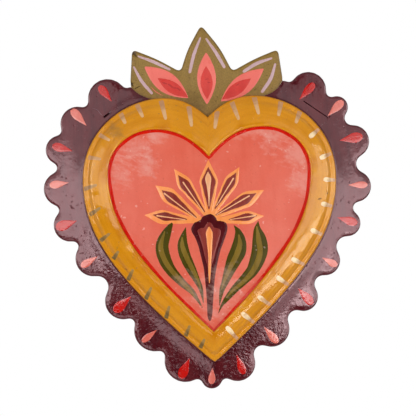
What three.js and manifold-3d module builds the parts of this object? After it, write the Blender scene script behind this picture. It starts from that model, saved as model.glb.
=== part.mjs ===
// Painted wooden heart ornament for a wall: a scalloped board with a three-leaf crown let into its
// top edge, a heart of a rounded rim round a domed panel on its front, and a folded strap with a
// swinging ring let into its back. Millimetres, +Z up, front towards -Y, back on the plane y = 0.
//
// The pieces are drawn as they are seen from the front: x to the right, y up from the heart's widest
// line and z forwards from the back. UPRIGHT then turns them into the part's own axes.
import * as THREE from 'three';
import { mergeVertices } from 'three/addons/utils/BufferGeometryUtils.js';
import Module from 'manifold-3d';

const wasm = await Module();
wasm.setup();

// Boards and clearances
const BOARD_THICK = 8;
const EDGE_ROUND = 0.8;
const FIT = 0.3;

// Heart: its outer edge, measured from its widest line
const HEART_LEVEL = 14.2;
const HEART_HALF_WIDTH = 63;
const HEART_TOP = 40.8;
const HEART_LOBE_X = 23;
const HEART_CLEFT = 30.8;
const HEART_DEPTH = 91.3;

// Rim: its width at the sides, lobes, cleft and point, and the heights of its section
const RIM_SIDE = 12.7;
const RIM_TOP = 15.5;
const RIM_CLEFT = 19.5;
const RIM_POINT = 15.5;
const RIM_LOBE_SHIFT = 4.5;
const RIM_RAISE = 3.5;
const RIM_HEIGHT = 11;
const RIM_SHOULDER = 5.8;
const RIM_OUTER_WALL = 4.2;
const RIM_INNER_WALL = 7.6;
const RIM_CREST_SHARE = 0.68;

// Panel: it lies in the rim, lower than the rim's crest
const PANEL_WALL = 6.8;
const PANEL_EDGE = 0.9;
const PANEL_DOME = 0.8;

// Frill lobes from the crown down to the heart's point: how far along the half outline each stands
// as a share of it, how far its crest reaches past the heart's edge, and its radius. The board is
// sawn by hand, so the two sides differ. The first lobe of each side runs in behind the crown.
const FRILL_RIGHT = [
  [0.195, 10.0, 6.5],
  [0.240, 19.8, 9.0],
  [0.303, 19.0, 5.6],
  [0.373, 19.9, 8.2],
  [0.463, 17.8, 7.9],
  [0.543, 15.8, 6.6],
  [0.639, 14.6, 7.6],
  [0.737, 16.3, 7.3],
  [0.845, 17.0, 9.0],
  [0.962, 17.2, 9.0],
];
const FRILL_LEFT = [
  [0.195, 9.0, 6.5],
  [0.240, 18.9, 9.8],
  [0.317, 19.6, 8.6],
  [0.375, 20.8, 7.4],
  [0.450, 19.9, 8.8],
  [0.528, 18.4, 8.3],
  [0.616, 15.9, 9.0],
  [0.737, 17.6, 9.2],
  [0.840, 18.2, 10.5],
  [0.944, 19.6, 10.5],
];
const FRILL_POINT_REACH = 13.3;
const FRILL_POINT_RADIUS = 5.2;
const FRILL_POINT_ASIDE = -1.7;
const FRILL_VALLEY_RADIUS = 2.6;

// Crown corners, anticlockwise from the right shoulder: x, rise above the heart's lobes, and how far
// before the corner its rounding starts, over what its eased edge takes
const CROWN_CORNERS = [
  [38.9, 1.0, 6.5],
  [36.1, 23.0, 0.8],
  [24.0, 18.4, 3.5],
  [13.0, 12.6, 0.6],
  [7.2, 24.4, 3.5],
  [-2.0, 36.2, 0.8],
  [-9.2, 23.8, 3.5],
  [-12.8, 13.0, 1.0],
  [-24.4, 19.8, 3.5],
  [-36.7, 25.0, 0.8],
  [-38.6, 1.4, 6.5],
];
const CROWN_FOOT_LAP = 4.8;
const CROWN_FOOT_HALF_WIDTH = 20;
const CROWN_FOOT_SPREAD = 2;
const CROWN_FOOT_ROUND = 1.5;
const CROWN_TUCK = 0.8;

// Brads, driven from the back, and where they stand along each half of the rim
const BRAD_SHANK_R = 0.8;
const BRAD_HEAD_R = 1.6;
const BRAD_HEAD_THICK = 1.2;
const BRAD_BITE = 5;
const BRAD_POINT = 1.5;
const RIM_BRAD_SHARES = [0.32, 0.56, 0.86];
const CROWN_BRAD_SHARE = 0.09;
const PANEL_BRAD_X = 30;
const PANEL_BRAD_DROP = 4;
const PANEL_BRAD_LOW_DROP = 48;

// Hanger: ring wire, folded strap, its screws and the pocket that they lie in
const HANGER_HEIGHT = 7.5;
const RING_WIRE_R = 0.9;
const RING_WIDTH = 14;
const RING_CORNER = 3;
const STRAP_THICK = 0.8;
const STRAP_WIDTH = 7;
const STRAP_LENGTH = 15.5;
const STRAP_ROUND = 2.5;
const SCREW_SHANK_R = 1.25;
const SCREW_HEAD_R = 2.4;
const SCREW_HEAD_THICK = 1.4;
const SCREW_SLOT_WIDTH = 0.7;
const SCREW_SLOT_DEPTH = 0.7;
const SCREW_POINT = 1.8;
const SCREW_BITE = 4;
const SCREW_DROPS = [5.5, 12];
const POCKET_DEPTH = 5;
const POCKET_MARGIN = 1.5;
const POCKET_SIDE = 4;
const POCKET_ROUND = 3;

// Steps round curves
const HEART_STEPS = [10, 14, 20];
const ARC_STEPS = 4;
const SECTION_STEPS = 4;
const ROUND_STEPS = 14;
const WIRE_STEPS = 10;
const RING_STEPS = 44;

// Sizes that follow
const RING_HEIGHT = RING_CORNER + RING_WIDTH / 2;
const EYE_BORE_R = RING_WIRE_R + FIT;
const EYE_R = EYE_BORE_R + STRAP_THICK;
const AXIS_DEPTH = POCKET_DEPTH - EYE_R;
const RING_LEAN = Math.asin((EYE_R - RING_WIRE_R - FIT) / RING_HEIGHT);
const BRAD_LENGTH = BOARD_THICK + BRAD_BITE;

const UPRIGHT = new THREE.Matrix4().makeBasis(
  new THREE.Vector3(1, 0, 0),
  new THREE.Vector3(0, 0, 1),
  new THREE.Vector3(0, -1, 0),
);

const paint = (color, roughness, metalness = 0) =>
  new THREE.MeshStandardMaterial({ color, roughness, metalness });
const MAROON = paint(0x57212a, 0.3);
const OLIVE = paint(0xa6804d, 0.4);
const OCHRE = paint(0xcd820f, 0.3);
const PINK = paint(0xde6e5a, 0.35);
const STEEL = paint(0x9a9a98, 0.4, 1);
const BRASSED = paint(0xb08d4a, 0.35, 1);

// Turns a closed geometry into a solid that can be joined and cut
function solid(geometry) {
  const bare = geometry.clone();
  bare.deleteAttribute('normal');
  bare.deleteAttribute('uv');
  const merged = mergeVertices(bare);
  const index = merged.index.array;
  const triangles = [];
  for (let i = 0; i < index.length; i += 3) {
    const [a, b, c] = index.slice(i, i + 3);
    if (a !== b && b !== c && c !== a) triangles.push(a, b, c);
  }
  return new wasm.Manifold(new wasm.Mesh({
    numProp: 3,
    vertProperties: merged.attributes.position.array,
    triVerts: new Uint32Array(triangles),
  }));
}

// Turns a solid, drawn as seen from the front, into a named mesh in the part's axes
function piece(name, body, material) {
  const { vertProperties, triVerts } = body.getMesh();
  const geometry = new THREE.BufferGeometry();
  geometry.setAttribute('position', new THREE.BufferAttribute(new Float32Array(vertProperties), 3));
  geometry.setIndex(new THREE.BufferAttribute(new Uint32Array(triVerts), 1));
  geometry.applyMatrix4(UPRIGHT);
  geometry.computeVertexNormals();
  const mesh = new THREE.Mesh(geometry, material);
  mesh.name = name;
  return mesh;
}

// Skins a row of loops with as many points each: closed on itself, or capped at both ends
function loft(loops, onItself) {
  const count = loops[0].length;
  const at = (row, column) => (row % loops.length) * count + (column % count);
  const index = [];
  const rows = onItself ? loops.length : loops.length - 1;
  for (let row = 0; row < rows; row += 1) {
    for (let column = 0; column < count; column += 1) {
      const near = [at(row, column), at(row, column + 1)];
      const far = [at(row + 1, column), at(row + 1, column + 1)];
      index.push(near[0], near[1], far[1], near[0], far[1], far[0]);
    }
  }
  if (!onItself) {
    const last = loops.length - 1;
    for (const [a, b, c] of THREE.ShapeUtils.triangulateShape(loops[0], [])) index.push(c, b, a);
    for (const [a, b, c] of THREE.ShapeUtils.triangulateShape(loops[last], [])) {
      index.push(at(last, a), at(last, b), at(last, c));
    }
  }
  const geometry = new THREE.BufferGeometry().setFromPoints(loops.flat());
  geometry.setIndex(index);
  return geometry;
}

// A board of a shape's outline from one depth to another, with its edges eased or grown
function slab(shape, from, to, { eased = 0, grown = 0 } = {}) {
  const geometry = new THREE.ExtrudeGeometry(shape, {
    depth: to - from - 2 * eased,
    curveSegments: ARC_STEPS,
    bevelEnabled: true,
    bevelThickness: eased,
    bevelSize: eased,
    bevelOffset: grown - eased,
    bevelSegments: eased > 0 ? 2 : 0,
  });
  return solid(geometry.translate(0, 0, from + eased));
}

// A round bar along z
function bar(x, y, radius, from, to) {
  const geometry = new THREE.CylinderGeometry(radius, radius, to - from, ROUND_STEPS);
  geometry.rotateX(Math.PI / 2);
  return solid(geometry.translate(x, y, (from + to) / 2));
}

// A round bar along x
function crossBar(y, z, radius, length) {
  const geometry = new THREE.CylinderGeometry(radius, radius, length, ROUND_STEPS);
  geometry.rotateZ(Math.PI / 2);
  return solid(geometry.translate(0, y, z));
}

// A closed outline of straight runs whose corners are rounded: each corner is x, y and the rounding
function roundedShape(corners) {
  const shape = new THREE.Shape();
  corners.forEach(([x, y, round], i) => {
    const corner = new THREE.Vector2(x, y);
    const [before, after] = [corners.at(i - 1), corners[(i + 1) % corners.length]].map(([nx, ny]) => {
      const away = new THREE.Vector2(nx, ny).sub(corner).setLength(round);
      return away.add(corner);
    });
    if (i === 0) shape.moveTo(before.x, before.y);
    else shape.lineTo(before.x, before.y);
    shape.quadraticCurveTo(x, y, after.x, after.y);
  });
  shape.closePath();
  return shape;
}

// Half a heart from its cleft round the right lobe to its point. The shares set how full its curves
// are, as parts of the span that each one crosses.
function heartHalf({ halfWidth, top, lobeX, cleft, depth, level }) {
  const at = (x, y) => new THREE.Vector2(x, y);
  const outward = halfWidth - lobeX;
  const upward = top - level;
  const downward = level + depth;
  const half = new THREE.CurvePath();
  half.add(new THREE.CubicBezierCurve(
    at(0, cleft),
    at(0.387 * lobeX, cleft + 0.85 * (top - cleft)),
    at(0.69 * lobeX, top),
    at(lobeX, top),
  ));
  half.add(new THREE.CubicBezierCurve(
    at(lobeX, top),
    at(lobeX + 0.43 * outward, top),
    at(halfWidth, level + 0.656 * upward),
    at(halfWidth, level),
  ));
  half.add(new THREE.CubicBezierCurve(
    at(halfWidth, level),
    at(halfWidth, level - 0.295 * downward),
    at(0.765 * halfWidth, 0.463 * downward - depth),
    at(0, -depth),
  ));
  return half;
}

// The whole heart as a loop of points, anticlockwise from the cleft
function heartLoop(half) {
  const right = [half.curves[0].getPoint(0)];
  half.curves.forEach((curve, i) => {
    for (let step = 1; step <= HEART_STEPS[i]; step += 1) right.push(curve.getPoint(step / HEART_STEPS[i]));
  });
  const left = right.map((p) => new THREE.Vector2(-p.x, p.y));
  return [...left, ...right.slice(1, -1).reverse()];
}

// Moves each side of an anticlockwise loop inwards
function inset(loop, distance) {
  return loop.map((p, i) => {
    const before = p.clone().sub(loop.at(i - 1)).normalize();
    const after = loop[(i + 1) % loop.length].clone().sub(p).normalize();
    const inward = new THREE.Vector2(-before.y - after.y, before.x + after.x).normalize();
    const slant = inward.dot(new THREE.Vector2(-after.y, after.x));
    return p.clone().addScaledVector(inward, distance / slant);
  });
}

const raised = (loop, z) => loop.map((p) => new THREE.Vector3(p.x, p.y, z));

const outerHalf = heartHalf({
  halfWidth: HEART_HALF_WIDTH,
  top: HEART_TOP,
  lobeX: HEART_LOBE_X,
  cleft: HEART_CLEFT,
  depth: HEART_DEPTH,
  level: 0,
});
const innerHalf = heartHalf({
  halfWidth: HEART_HALF_WIDTH - RIM_SIDE,
  top: HEART_TOP - RIM_TOP,
  lobeX: HEART_LOBE_X + RIM_LOBE_SHIFT,
  cleft: HEART_CLEFT - RIM_CLEFT,
  depth: HEART_DEPTH - RIM_POINT,
  level: RIM_RAISE,
});

// The middle of the rim at a share of the way from the cleft to the point
function rimMiddle(share, side) {
  const middle = outerHalf.getPoint(share).lerp(innerHalf.getPoint(share), 0.5);
  return [side * middle.x, middle.y];
}

function rimSolid() {
  const section = new THREE.Path();
  section.moveTo(0, 0);
  section.lineTo(0, RIM_OUTER_WALL);
  section.quadraticCurveTo(0.01, RIM_SHOULDER, 0.13, RIM_SHOULDER + 0.4);
  section.bezierCurveTo(0.3, RIM_SHOULDER + 1.6, RIM_CREST_SHARE - 0.22, RIM_HEIGHT, RIM_CREST_SHARE, RIM_HEIGHT);
  section.bezierCurveTo(RIM_CREST_SHARE + 0.14, RIM_HEIGHT, 0.93, RIM_INNER_WALL + 1.6, 1, RIM_INNER_WALL);
  section.lineTo(1, 0);
  const outer = heartLoop(outerHalf);
  const inner = heartLoop(innerHalf);
  const loops = section.getPoints(SECTION_STEPS).map(({ x: share, y: height }) => {
    const loop = outer.map((p, i) => p.clone().lerp(inner[i], share));
    return raised(loop, BOARD_THICK + height);
  });
  return solid(loft(loops, true));
}

function panelSolid() {
  const wall = inset(heartLoop(innerHalf), FIT);
  const shoulder = inset(wall, PANEL_EDGE / 3);
  const brow = inset(wall, PANEL_EDGE);
  const centre = new THREE.Vector2(0, RIM_RAISE - PANEL_BRAD_DROP);
  const shrunk = (share) => brow.map((p) => p.clone().lerp(centre, share));
  const top = BOARD_THICK + PANEL_WALL + PANEL_EDGE;
  return solid(loft([
    raised(wall, BOARD_THICK),
    raised(wall, BOARD_THICK + PANEL_WALL),
    raised(shoulder, top - PANEL_EDGE / 3),
    raised(brow, top),
    raised(shrunk(0.3), top + 0.5 * PANEL_DOME),
    raised(shrunk(0.7), top + PANEL_DOME),
  ], false));
}

// The frill's lobes as circles, anticlockwise from behind the crown on the left
function frillLobes() {
  const lobe = ([share, reach, radius], side) => {
    const foot = outerHalf.getPoint(share);
    const along = outerHalf.getTangent(share);
    const out = new THREE.Vector2(-along.y, along.x);
    const centre = foot.addScaledVector(out, reach - radius);
    return { centre: new THREE.Vector2(side * centre.x, centre.y), radius };
  };
  const lowest = new THREE.Vector2(FRILL_POINT_ASIDE, FRILL_POINT_RADIUS - HEART_DEPTH - FRILL_POINT_REACH);
  return [
    ...FRILL_LEFT.map((entry) => lobe(entry, -1)),
    { centre: lowest, radius: FRILL_POINT_RADIUS },
    ...FRILL_RIGHT.toReversed().map((entry) => lobe(entry, 1)),
  ];
}

// The round valley that touches two neighbouring lobes from outside
function valleyBetween(a, b) {
  const across = b.centre.clone().sub(a.centre);
  const span = across.length();
  const radius = Math.max(FRILL_VALLEY_RADIUS, 0.7 * (span - a.radius - b.radius));
  const [toA, toB] = [a.radius + radius, b.radius + radius];
  const along = (span ** 2 + toA ** 2 - toB ** 2) / (2 * span);
  const aside = Math.sqrt(toA ** 2 - along ** 2);
  across.normalize();
  const right = new THREE.Vector2(across.y, -across.x);
  const centre = a.centre.clone().addScaledVector(across, along).addScaledVector(right, aside);
  return { centre, radius };
}

function frillShape() {
  const lobes = frillLobes();
  const valleys = lobes.slice(1).map((lobe, i) => valleyBetween(lobes[i], lobe));
  const heading = (from, to) => to.centre.clone().sub(from.centre).angle();
  const shape = new THREE.Shape();
  lobes.forEach((lobe, i) => {
    const start = i > 0 ? heading(lobe, valleys[i - 1]) : Math.PI / 2;
    const end = i < valleys.length ? heading(lobe, valleys[i]) : Math.PI / 2;
    shape.absarc(lobe.centre.x, lobe.centre.y, lobe.radius, start, end, false);
    if (i === valleys.length) return;
    const valley = valleys[i];
    const leave = heading(valley, lobes[i + 1]);
    shape.absarc(valley.centre.x, valley.centre.y, valley.radius, end + Math.PI, leave, true);
  });
  shape.closePath();
  return shape;
}

function crownShape() {
  const footBottom = HEART_CLEFT - CROWN_FOOT_LAP;
  const tuck = HEART_TOP - CROWN_TUCK;
  const tuckX = CROWN_FOOT_HALF_WIDTH + CROWN_FOOT_SPREAD;
  return roundedShape([
    [-CROWN_FOOT_HALF_WIDTH, footBottom, CROWN_FOOT_ROUND],
    [CROWN_FOOT_HALF_WIDTH, footBottom, CROWN_FOOT_ROUND],
    [tuckX, tuck, CROWN_FOOT_ROUND],
    ...CROWN_CORNERS.map(([x, rise, round]) => [x, HEART_TOP + rise, round + 2 * EDGE_ROUND]),
    [-tuckX, tuck, CROWN_FOOT_ROUND],
  ]);
}

function pocketSolid() {
  const halfWidth = RING_WIDTH / 2 + RING_WIRE_R + POCKET_SIDE;
  const bottom = HANGER_HEIGHT - STRAP_LENGTH - POCKET_MARGIN;
  const top = HANGER_HEIGHT + RING_HEIGHT + RING_WIRE_R + POCKET_MARGIN;
  const shape = roundedShape([
    [-halfWidth, bottom, POCKET_ROUND],
    [halfWidth, bottom, POCKET_ROUND],
    [halfWidth, top, POCKET_ROUND],
    [-halfWidth, top, POCKET_ROUND],
  ]);
  return slab(shape, -EDGE_ROUND, POCKET_DEPTH);
}

// A round fastener along z from its head's back, made by turning its section
function fastener({ headR, headThick, shankR, length, point }) {
  const section = [
    [0, 0],
    [headR, 0],
    [headR, headThick],
    [shankR, headThick],
    [shankR, length - point],
    [0, length],
  ].map(([x, y]) => new THREE.Vector2(x, y));
  return solid(new THREE.LatheGeometry(section, ROUND_STEPS).rotateX(Math.PI / 2));
}

// Cuts the holes that fasteners pass through in one piece
function drilled(body, holes) {
  return holes.reduce((rest, [x, y, radius, from, to]) => rest.subtract(bar(x, y, radius, from, to)), body);
}

const bradSpots = {
  rim: RIM_BRAD_SHARES.flatMap((share) => [rimMiddle(share, -1), rimMiddle(share, 1)]),
  crown: [rimMiddle(CROWN_BRAD_SHARE, -1), rimMiddle(CROWN_BRAD_SHARE, 1)],
  panel: [[-PANEL_BRAD_X, -PANEL_BRAD_DROP], [PANEL_BRAD_X, -PANEL_BRAD_DROP], [0, -PANEL_BRAD_LOW_DROP]],
};
const screwSpots = SCREW_DROPS.map((drop) => [0, HANGER_HEIGHT - drop]);
const screwEnd = BOARD_THICK + SCREW_BITE;

// A brad's hole in a board that lies on the back, with a seat for its head
const backHoles = (spots) => spots.flatMap(([x, y]) => [
  [x, y, BRAD_SHANK_R + FIT, -EDGE_ROUND, BOARD_THICK + EDGE_ROUND],
  [x, y, BRAD_HEAD_R + FIT, -EDGE_ROUND, BRAD_HEAD_THICK],
]);
// A brad's blind hole in a piece that lies on the boards
const frontHoles = (spots) => spots.map(([x, y]) => (
  [x, y, BRAD_SHANK_R + FIT, BOARD_THICK - EDGE_ROUND, BRAD_LENGTH + FIT]
));
const screwHoles = (from, to) => screwSpots.map(([x, y]) => [x, y, SCREW_SHANK_R + FIT, from, to]);

function frillBoard() {
  const board = slab(frillShape(), 0, BOARD_THICK, { eased: EDGE_ROUND })
    .subtract(slab(crownShape(), -EDGE_ROUND, BOARD_THICK + EDGE_ROUND, { grown: FIT }))
    .subtract(pocketSolid());
  return drilled(board, [
    ...backHoles([...bradSpots.rim, ...bradSpots.panel]),
    ...screwHoles(0, BOARD_THICK + EDGE_ROUND),
  ]);
}

function leafCrown() {
  return drilled(slab(crownShape(), 0, BOARD_THICK, { eased: EDGE_ROUND }), backHoles(bradSpots.crown));
}

function heartRim() {
  return drilled(rimSolid(), frontHoles([...bradSpots.rim, ...bradSpots.crown]));
}

function heartPanel() {
  return drilled(panelSolid(), [
    ...frontHoles(bradSpots.panel),
    ...screwHoles(BOARD_THICK - EDGE_ROUND, screwEnd + FIT),
  ]);
}

function hangerStrap() {
  const halfWidth = STRAP_WIDTH / 2;
  const bottom = HANGER_HEIGHT - STRAP_LENGTH;
  const strip = slab(roundedShape([
    [-halfWidth, bottom, STRAP_ROUND],
    [halfWidth, bottom, STRAP_ROUND],
    [halfWidth, HANGER_HEIGHT, FIT],
    [-halfWidth, HANGER_HEIGHT, FIT],
  ]), POCKET_DEPTH - STRAP_THICK, POCKET_DEPTH);
  const folded = strip
    .add(crossBar(HANGER_HEIGHT, AXIS_DEPTH, EYE_R, STRAP_WIDTH))
    .subtract(crossBar(HANGER_HEIGHT, AXIS_DEPTH, EYE_BORE_R, STRAP_WIDTH + 2 * STRAP_THICK));
  return drilled(folded, screwHoles(0, BOARD_THICK));
}

function hangerRing() {
  const straight = RING_WIDTH / 2 - RING_CORNER;
  const outline = new THREE.Path();
  outline.moveTo(-straight, 0);
  outline.lineTo(straight, 0);
  outline.absarc(straight, RING_CORNER, RING_CORNER, -Math.PI / 2, 0, false);
  outline.absarc(0, RING_CORNER, RING_WIDTH / 2, 0, Math.PI, false);
  outline.absarc(-straight, RING_CORNER, RING_CORNER, Math.PI, 1.5 * Math.PI, false);
  const points = outline.getSpacedPoints(RING_STEPS).slice(0, -1);
  const route = new THREE.CatmullRomCurve3(raised(points, 0), true);
  const wire = new THREE.TubeGeometry(route, RING_STEPS, RING_WIRE_R, WIRE_STEPS, true);
  return solid(wire.rotateX(RING_LEAN).translate(0, HANGER_HEIGHT, AXIS_DEPTH));
}

function hangerScrew() {
  const back = POCKET_DEPTH - STRAP_THICK - SCREW_HEAD_THICK;
  const screw = fastener({
    headR: SCREW_HEAD_R,
    headThick: SCREW_HEAD_THICK,
    shankR: SCREW_SHANK_R,
    length: screwEnd - back,
    point: SCREW_POINT,
  });
  const slot = new THREE.BoxGeometry(3 * SCREW_HEAD_R, SCREW_SLOT_WIDTH, 2 * SCREW_SLOT_DEPTH);
  return screw.subtract(solid(slot)).translate([0, 0, back]);
}

function brad() {
  return fastener({
    headR: BRAD_HEAD_R,
    headThick: BRAD_HEAD_THICK,
    shankR: BRAD_SHANK_R,
    length: BRAD_LENGTH,
    point: BRAD_POINT,
  });
}

// Copies of a fastener at their spots, each a mesh of its own
function placed(name, body, spots, material) {
  return spots.map(([x, y], i) => {
    const mesh = piece(`${name}_${i + 1}`, body, material);
    mesh.position.set(x, 0, y);
    return mesh;
  });
}

const ornament = new THREE.Group();
ornament.add(
  piece('frill_board', frillBoard(), MAROON),
  piece('leaf_crown', leafCrown(), OLIVE),
  piece('heart_rim', heartRim(), OCHRE),
  piece('heart_panel', heartPanel(), PINK),
  ...placed('rim_brad', brad(), bradSpots.rim, STEEL),
  ...placed('crown_brad', brad(), bradSpots.crown, STEEL),
  ...placed('panel_brad', brad(), bradSpots.panel, STEEL),
  piece('hanger_strap', hangerStrap(), BRASSED),
  piece('hanger_ring', hangerRing(), BRASSED),
  ...placed('hanger_screw', hangerScrew(), screwSpots, STEEL),
);
ornament.position.z = HEART_LEVEL;

export default ornament;
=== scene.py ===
"""The looks of a painted wooden heart ornament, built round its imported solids.

Lengths are in millimetres unless a name says otherwise, and become metres as a mesh is made.
A flat point is x to the right and z up, as seen from the front, and a height is how far a
point stands out from the back of the boards, towards the viewer.
"""

import math
from collections import namedtuple

import bmesh
import bpy
import numpy as np
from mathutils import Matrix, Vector
from mathutils.geometry import delaunay_2d_cdt


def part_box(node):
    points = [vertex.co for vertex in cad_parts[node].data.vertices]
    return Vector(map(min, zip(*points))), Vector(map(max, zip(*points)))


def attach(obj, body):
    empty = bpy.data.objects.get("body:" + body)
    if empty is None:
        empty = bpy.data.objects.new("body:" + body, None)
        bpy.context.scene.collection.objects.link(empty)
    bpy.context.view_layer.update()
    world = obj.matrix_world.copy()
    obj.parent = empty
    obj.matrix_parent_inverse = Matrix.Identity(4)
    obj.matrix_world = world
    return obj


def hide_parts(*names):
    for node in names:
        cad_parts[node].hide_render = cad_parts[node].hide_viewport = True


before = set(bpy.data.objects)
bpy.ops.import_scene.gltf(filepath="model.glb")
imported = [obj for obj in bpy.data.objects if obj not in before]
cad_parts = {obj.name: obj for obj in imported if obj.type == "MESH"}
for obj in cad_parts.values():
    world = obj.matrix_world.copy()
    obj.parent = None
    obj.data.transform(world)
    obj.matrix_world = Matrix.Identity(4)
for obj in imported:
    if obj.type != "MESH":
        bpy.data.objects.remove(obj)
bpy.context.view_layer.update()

MM = 0.001
FULL_TURN = 2 * math.pi
QUARTER_TURN = math.pi / 2

# What counts as one point in a solid and in a piece, in metres
SAME_SOLID_POINT = 1e-6
SAME_POINT = 1e-7

# Outlines and the meshes inside them
CAP_TOLERANCE = 1e-7
LEVEL_TOLERANCE = 0.02
MIDDLE_TOLERANCE = 0.01
LEAST_POINTS = 6
POINTS_AT_ONCE = 2000
ROW_SPACING = 0.87

# The least angle between two faces that shows as an edge, in degrees
USUAL_SHARPNESS = 40
SCREW_SHARPNESS = 30
PANEL_SHARPNESS = 50
RIM_SHARPNESS = 60
PAINT_SHARPNESS = 70

# The boards
BOARD_THICK = 8.0
BOARD_EASING = 0.9
SEAM_EASING = 0.1
SEAM_SOFTNESS = 5.0
SEAM_GAP = 0.02
SEAM_FADE = 0.15
EDGE_STEPS = 6
OUTLINE_STEP = 0.7
OUTLINE_SOFTNESS = 0.5
BOARD_MESH_STEP = 1.8
BOARD_MESH_CLEARANCE = 0.6 * BOARD_MESH_STEP
BOARD_WALL_TOP = 7.2
EDGE_REACH = 4.0
LACQUER_WAVES = (34.0, 21.0, 13.0, 9.0)
LACQUER_WAVE_HEIGHT = 0.05
FRILL_WAVE_SEED = 5
CROWN_WAVE_SEED = 11
PANEL_WAVE_SEED = 3
PANEL_WAVE_SHARE = 0.6
PANEL_WAVE_ONSET = 0.25
FOOT_RISE = 0.4
FOOT_REACH = 4.5
# How far forward a corner is, from the board's middle to its front, to be gouged or raised
GOUGED_FROM = 0.6
RAISED_FROM = 0.9

# Gouges: their two ends, half width and depth
Gouge = namedtuple("Gouge", "start end half_width depth")
GOUGE_CLEARING = 2.2
GOUGE_EDGE = 0.12
GOUGE_STEP = 0.12
GOUGE_STEP_SHARE = 0.55
GOUGE_WEAR = 2.5
GOUGE_LANES = (-1.25, -0.8, -0.4, 0, 0.4, 0.8, 1.25)
CROWN_GOUGES = [
    Gouge((-37.4, 79.2), (-35.8, 78.0), 1.3, 0.7),
    Gouge((-38.4, 63.8), (-37.2, 62.8), 0.7, 0.9),
    Gouge((-35.8, 60.4), (-33.6, 61.4), 0.2, 0.2),
]
FRILL_GOUGES = [
    Gouge((48.2, 51.6), (59.7, 43.3), 0.2, 0.3),
    Gouge((-51.6, 46.6), (-49.4, 48.2), 0.4, 0.5),
]

# The rim and the panel inside it
RIM_OUTER_TOP = 12.2
RIM_INNER_TOP = 15.6
RIM_UNEVENNESS = 0.5
RAIL_STEPS = 4
TIP_REACH = 12
TIP_SOFTNESS = 1.3
SECTION_STEPS = 12
SIDE_HEIGHTS = (7.1, 7.3, 8.2)
CLEFT_HEIGHTS = (7.3, 8.4, 9.0)
CLEFT_REACH = 46.0
BEAD_RADIUS = 0.5
BEAD_SIDES = 12
BEAD_STEP_OUT = 0.3
BEAD_CLEAR_OF_MIDDLE = 29.5
PANEL_WALL_TOP = 14.8
PANEL_EDGE = 0.9
PANEL_EDGE_STEPS = 4
PANEL_DOME = 0.8
PANEL_DOME_SHARE = 0.75
PANEL_RINGS = 30
PANEL_CENTRE = (0.0, 13.7)

# The hanger in the back
POCKET_DEPTH = 5.0
POCKET_HALF_WIDTH = 11.9
POCKET_BOTTOM = 4.7
POCKET_TOP = 34.1
POCKET_ROUND = 3.0
POCKET_MESH_STEP = 3.0
RING_AXIS_HEIGHT = 3.0
RING_AXIS_Z = 21.7
RING_HALF_WIDTH = 7.0
RING_CORNER = 3.0
RING_WIRE = 0.9
RING_SIDES = 20
RING_STEP = 0.5
RING_CORNER_STEPS = 9
RING_BOW_STEPS = 33
RING_LEAN = math.radians(4.59)
STRAP_HALF_WIDTH = 3.5
STRAP_BOTTOM = 6.2
STRAP_ROUND = 2.5
STRAP_BACK = 4.2
STRAP_EASING = 0.14
STRAP_STEP = 0.4
EYE_OUTSIDE = 2.0
EYE_BORE = 1.2
EYE_EASING = 0.12
EYE_STEPS = 40

# The brads and the screws, their sections as radius and height
BRAD_NODES = {
    "rim": [f"rim_brad_{i}" for i in range(1, 7)],
    "crown": [f"crown_brad_{i}" for i in range(1, 3)],
    "panel": [f"panel_brad_{i}" for i in range(1, 4)],
}
BRAD_HOLE = [(1.9, 0.0), (1.9, 1.2), (1.1, 1.2), (1.1, BOARD_THICK)]
BRAD_SECTION = [
    (0.0, 0.05), (0.7, 0.1), (1.3, 0.22), (1.58, 0.45),
    (1.6, 1.15), (0.8, 1.2), (0.8, 11.5), (0.0, 13.0),
]
BRAD_STEPS = 20
BRAD_SEED = 4
BRAD_MOST_TURN = 6
SCREW_LEVELS = (16.2, 9.7)
SCREW_TURNS = (0.5, 1.9)
SCREW_HOLE = 1.55
SCREW_SECTION = [
    (0.0, 2.85), (0.9, 2.92), (1.7, 3.15), (2.2, 3.5), (2.38, 3.9),
    (2.35, 4.18), (1.25, 4.2), (1.25, 10.2), (0.0, 12.0),
]
SCREW_STEPS = 32
SCREW_SLOT_LENGTH = 6.0
SCREW_SLOT_DEPTH = 0.7
SCREW_SLOT_WIDTH = 0.7

# Paint: how closely a sheet is meshed, how thick it is, and where its edge lies, as shares of its coat
PAINT_STEP = 0.5
PAINT_EDGE = 0.5
PAINT_COAT = 0.04
PAINT_SUNK = -0.25
PAINT_UNDER = -3.0
STROKE_LIFT = 0.03
STROKE_LEAST = 0.06
ROUND_END_STEPS = 8
# The spacing and clearance of a sheet's inner points and of its spine, in steps
FILL_STEP = 1.4
FILL_CLEARANCE = 0.5
SPINE_CLEARANCE = 0.16
SPINE_ROOM = 0.7


# Outlines


def unit(vectors):
    """Each vector with a length of one."""
    return vectors / np.linalg.norm(vectors, axis=1)[:, None]


def chain_at(node, height):
    """The flat points of the line of edges that a solid has at one height, in order."""
    bm = bmesh.new()
    bm.from_mesh(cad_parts[node].data)
    bmesh.ops.remove_doubles(bm, verts=bm.verts, dist=SAME_SOLID_POINT)
    level = {v for v in bm.verts if abs(v.co.y / MM + height) < LEVEL_TOLERANCE}
    partners = {}
    for v in level:
        partners[v] = [e.other_vert(v) for e in v.link_edges if e.other_vert(v) in level]
    ends = [v for v in level if len(partners[v]) == 1]
    chain = [min(ends or level, key=lambda v: (v.co.x, v.co.z))]
    seen = set(chain)
    while True:
        onward = [v for v in partners[chain[-1]] if v not in seen]
        if not onward:
            break
        chain.append(onward[0])
        seen.add(onward[0])
    points = np.array([(v.co.x / MM, v.co.z / MM) for v in chain])
    bm.free()
    return points


def anticlockwise(points):
    """The points in the order that keeps the inside on the left."""
    after = np.roll(points, -1, 0)
    doubled_area = np.sum(points[:, 0] * after[:, 1] - after[:, 0] * points[:, 1])
    return points if doubled_area > 0 else points[::-1]


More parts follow.
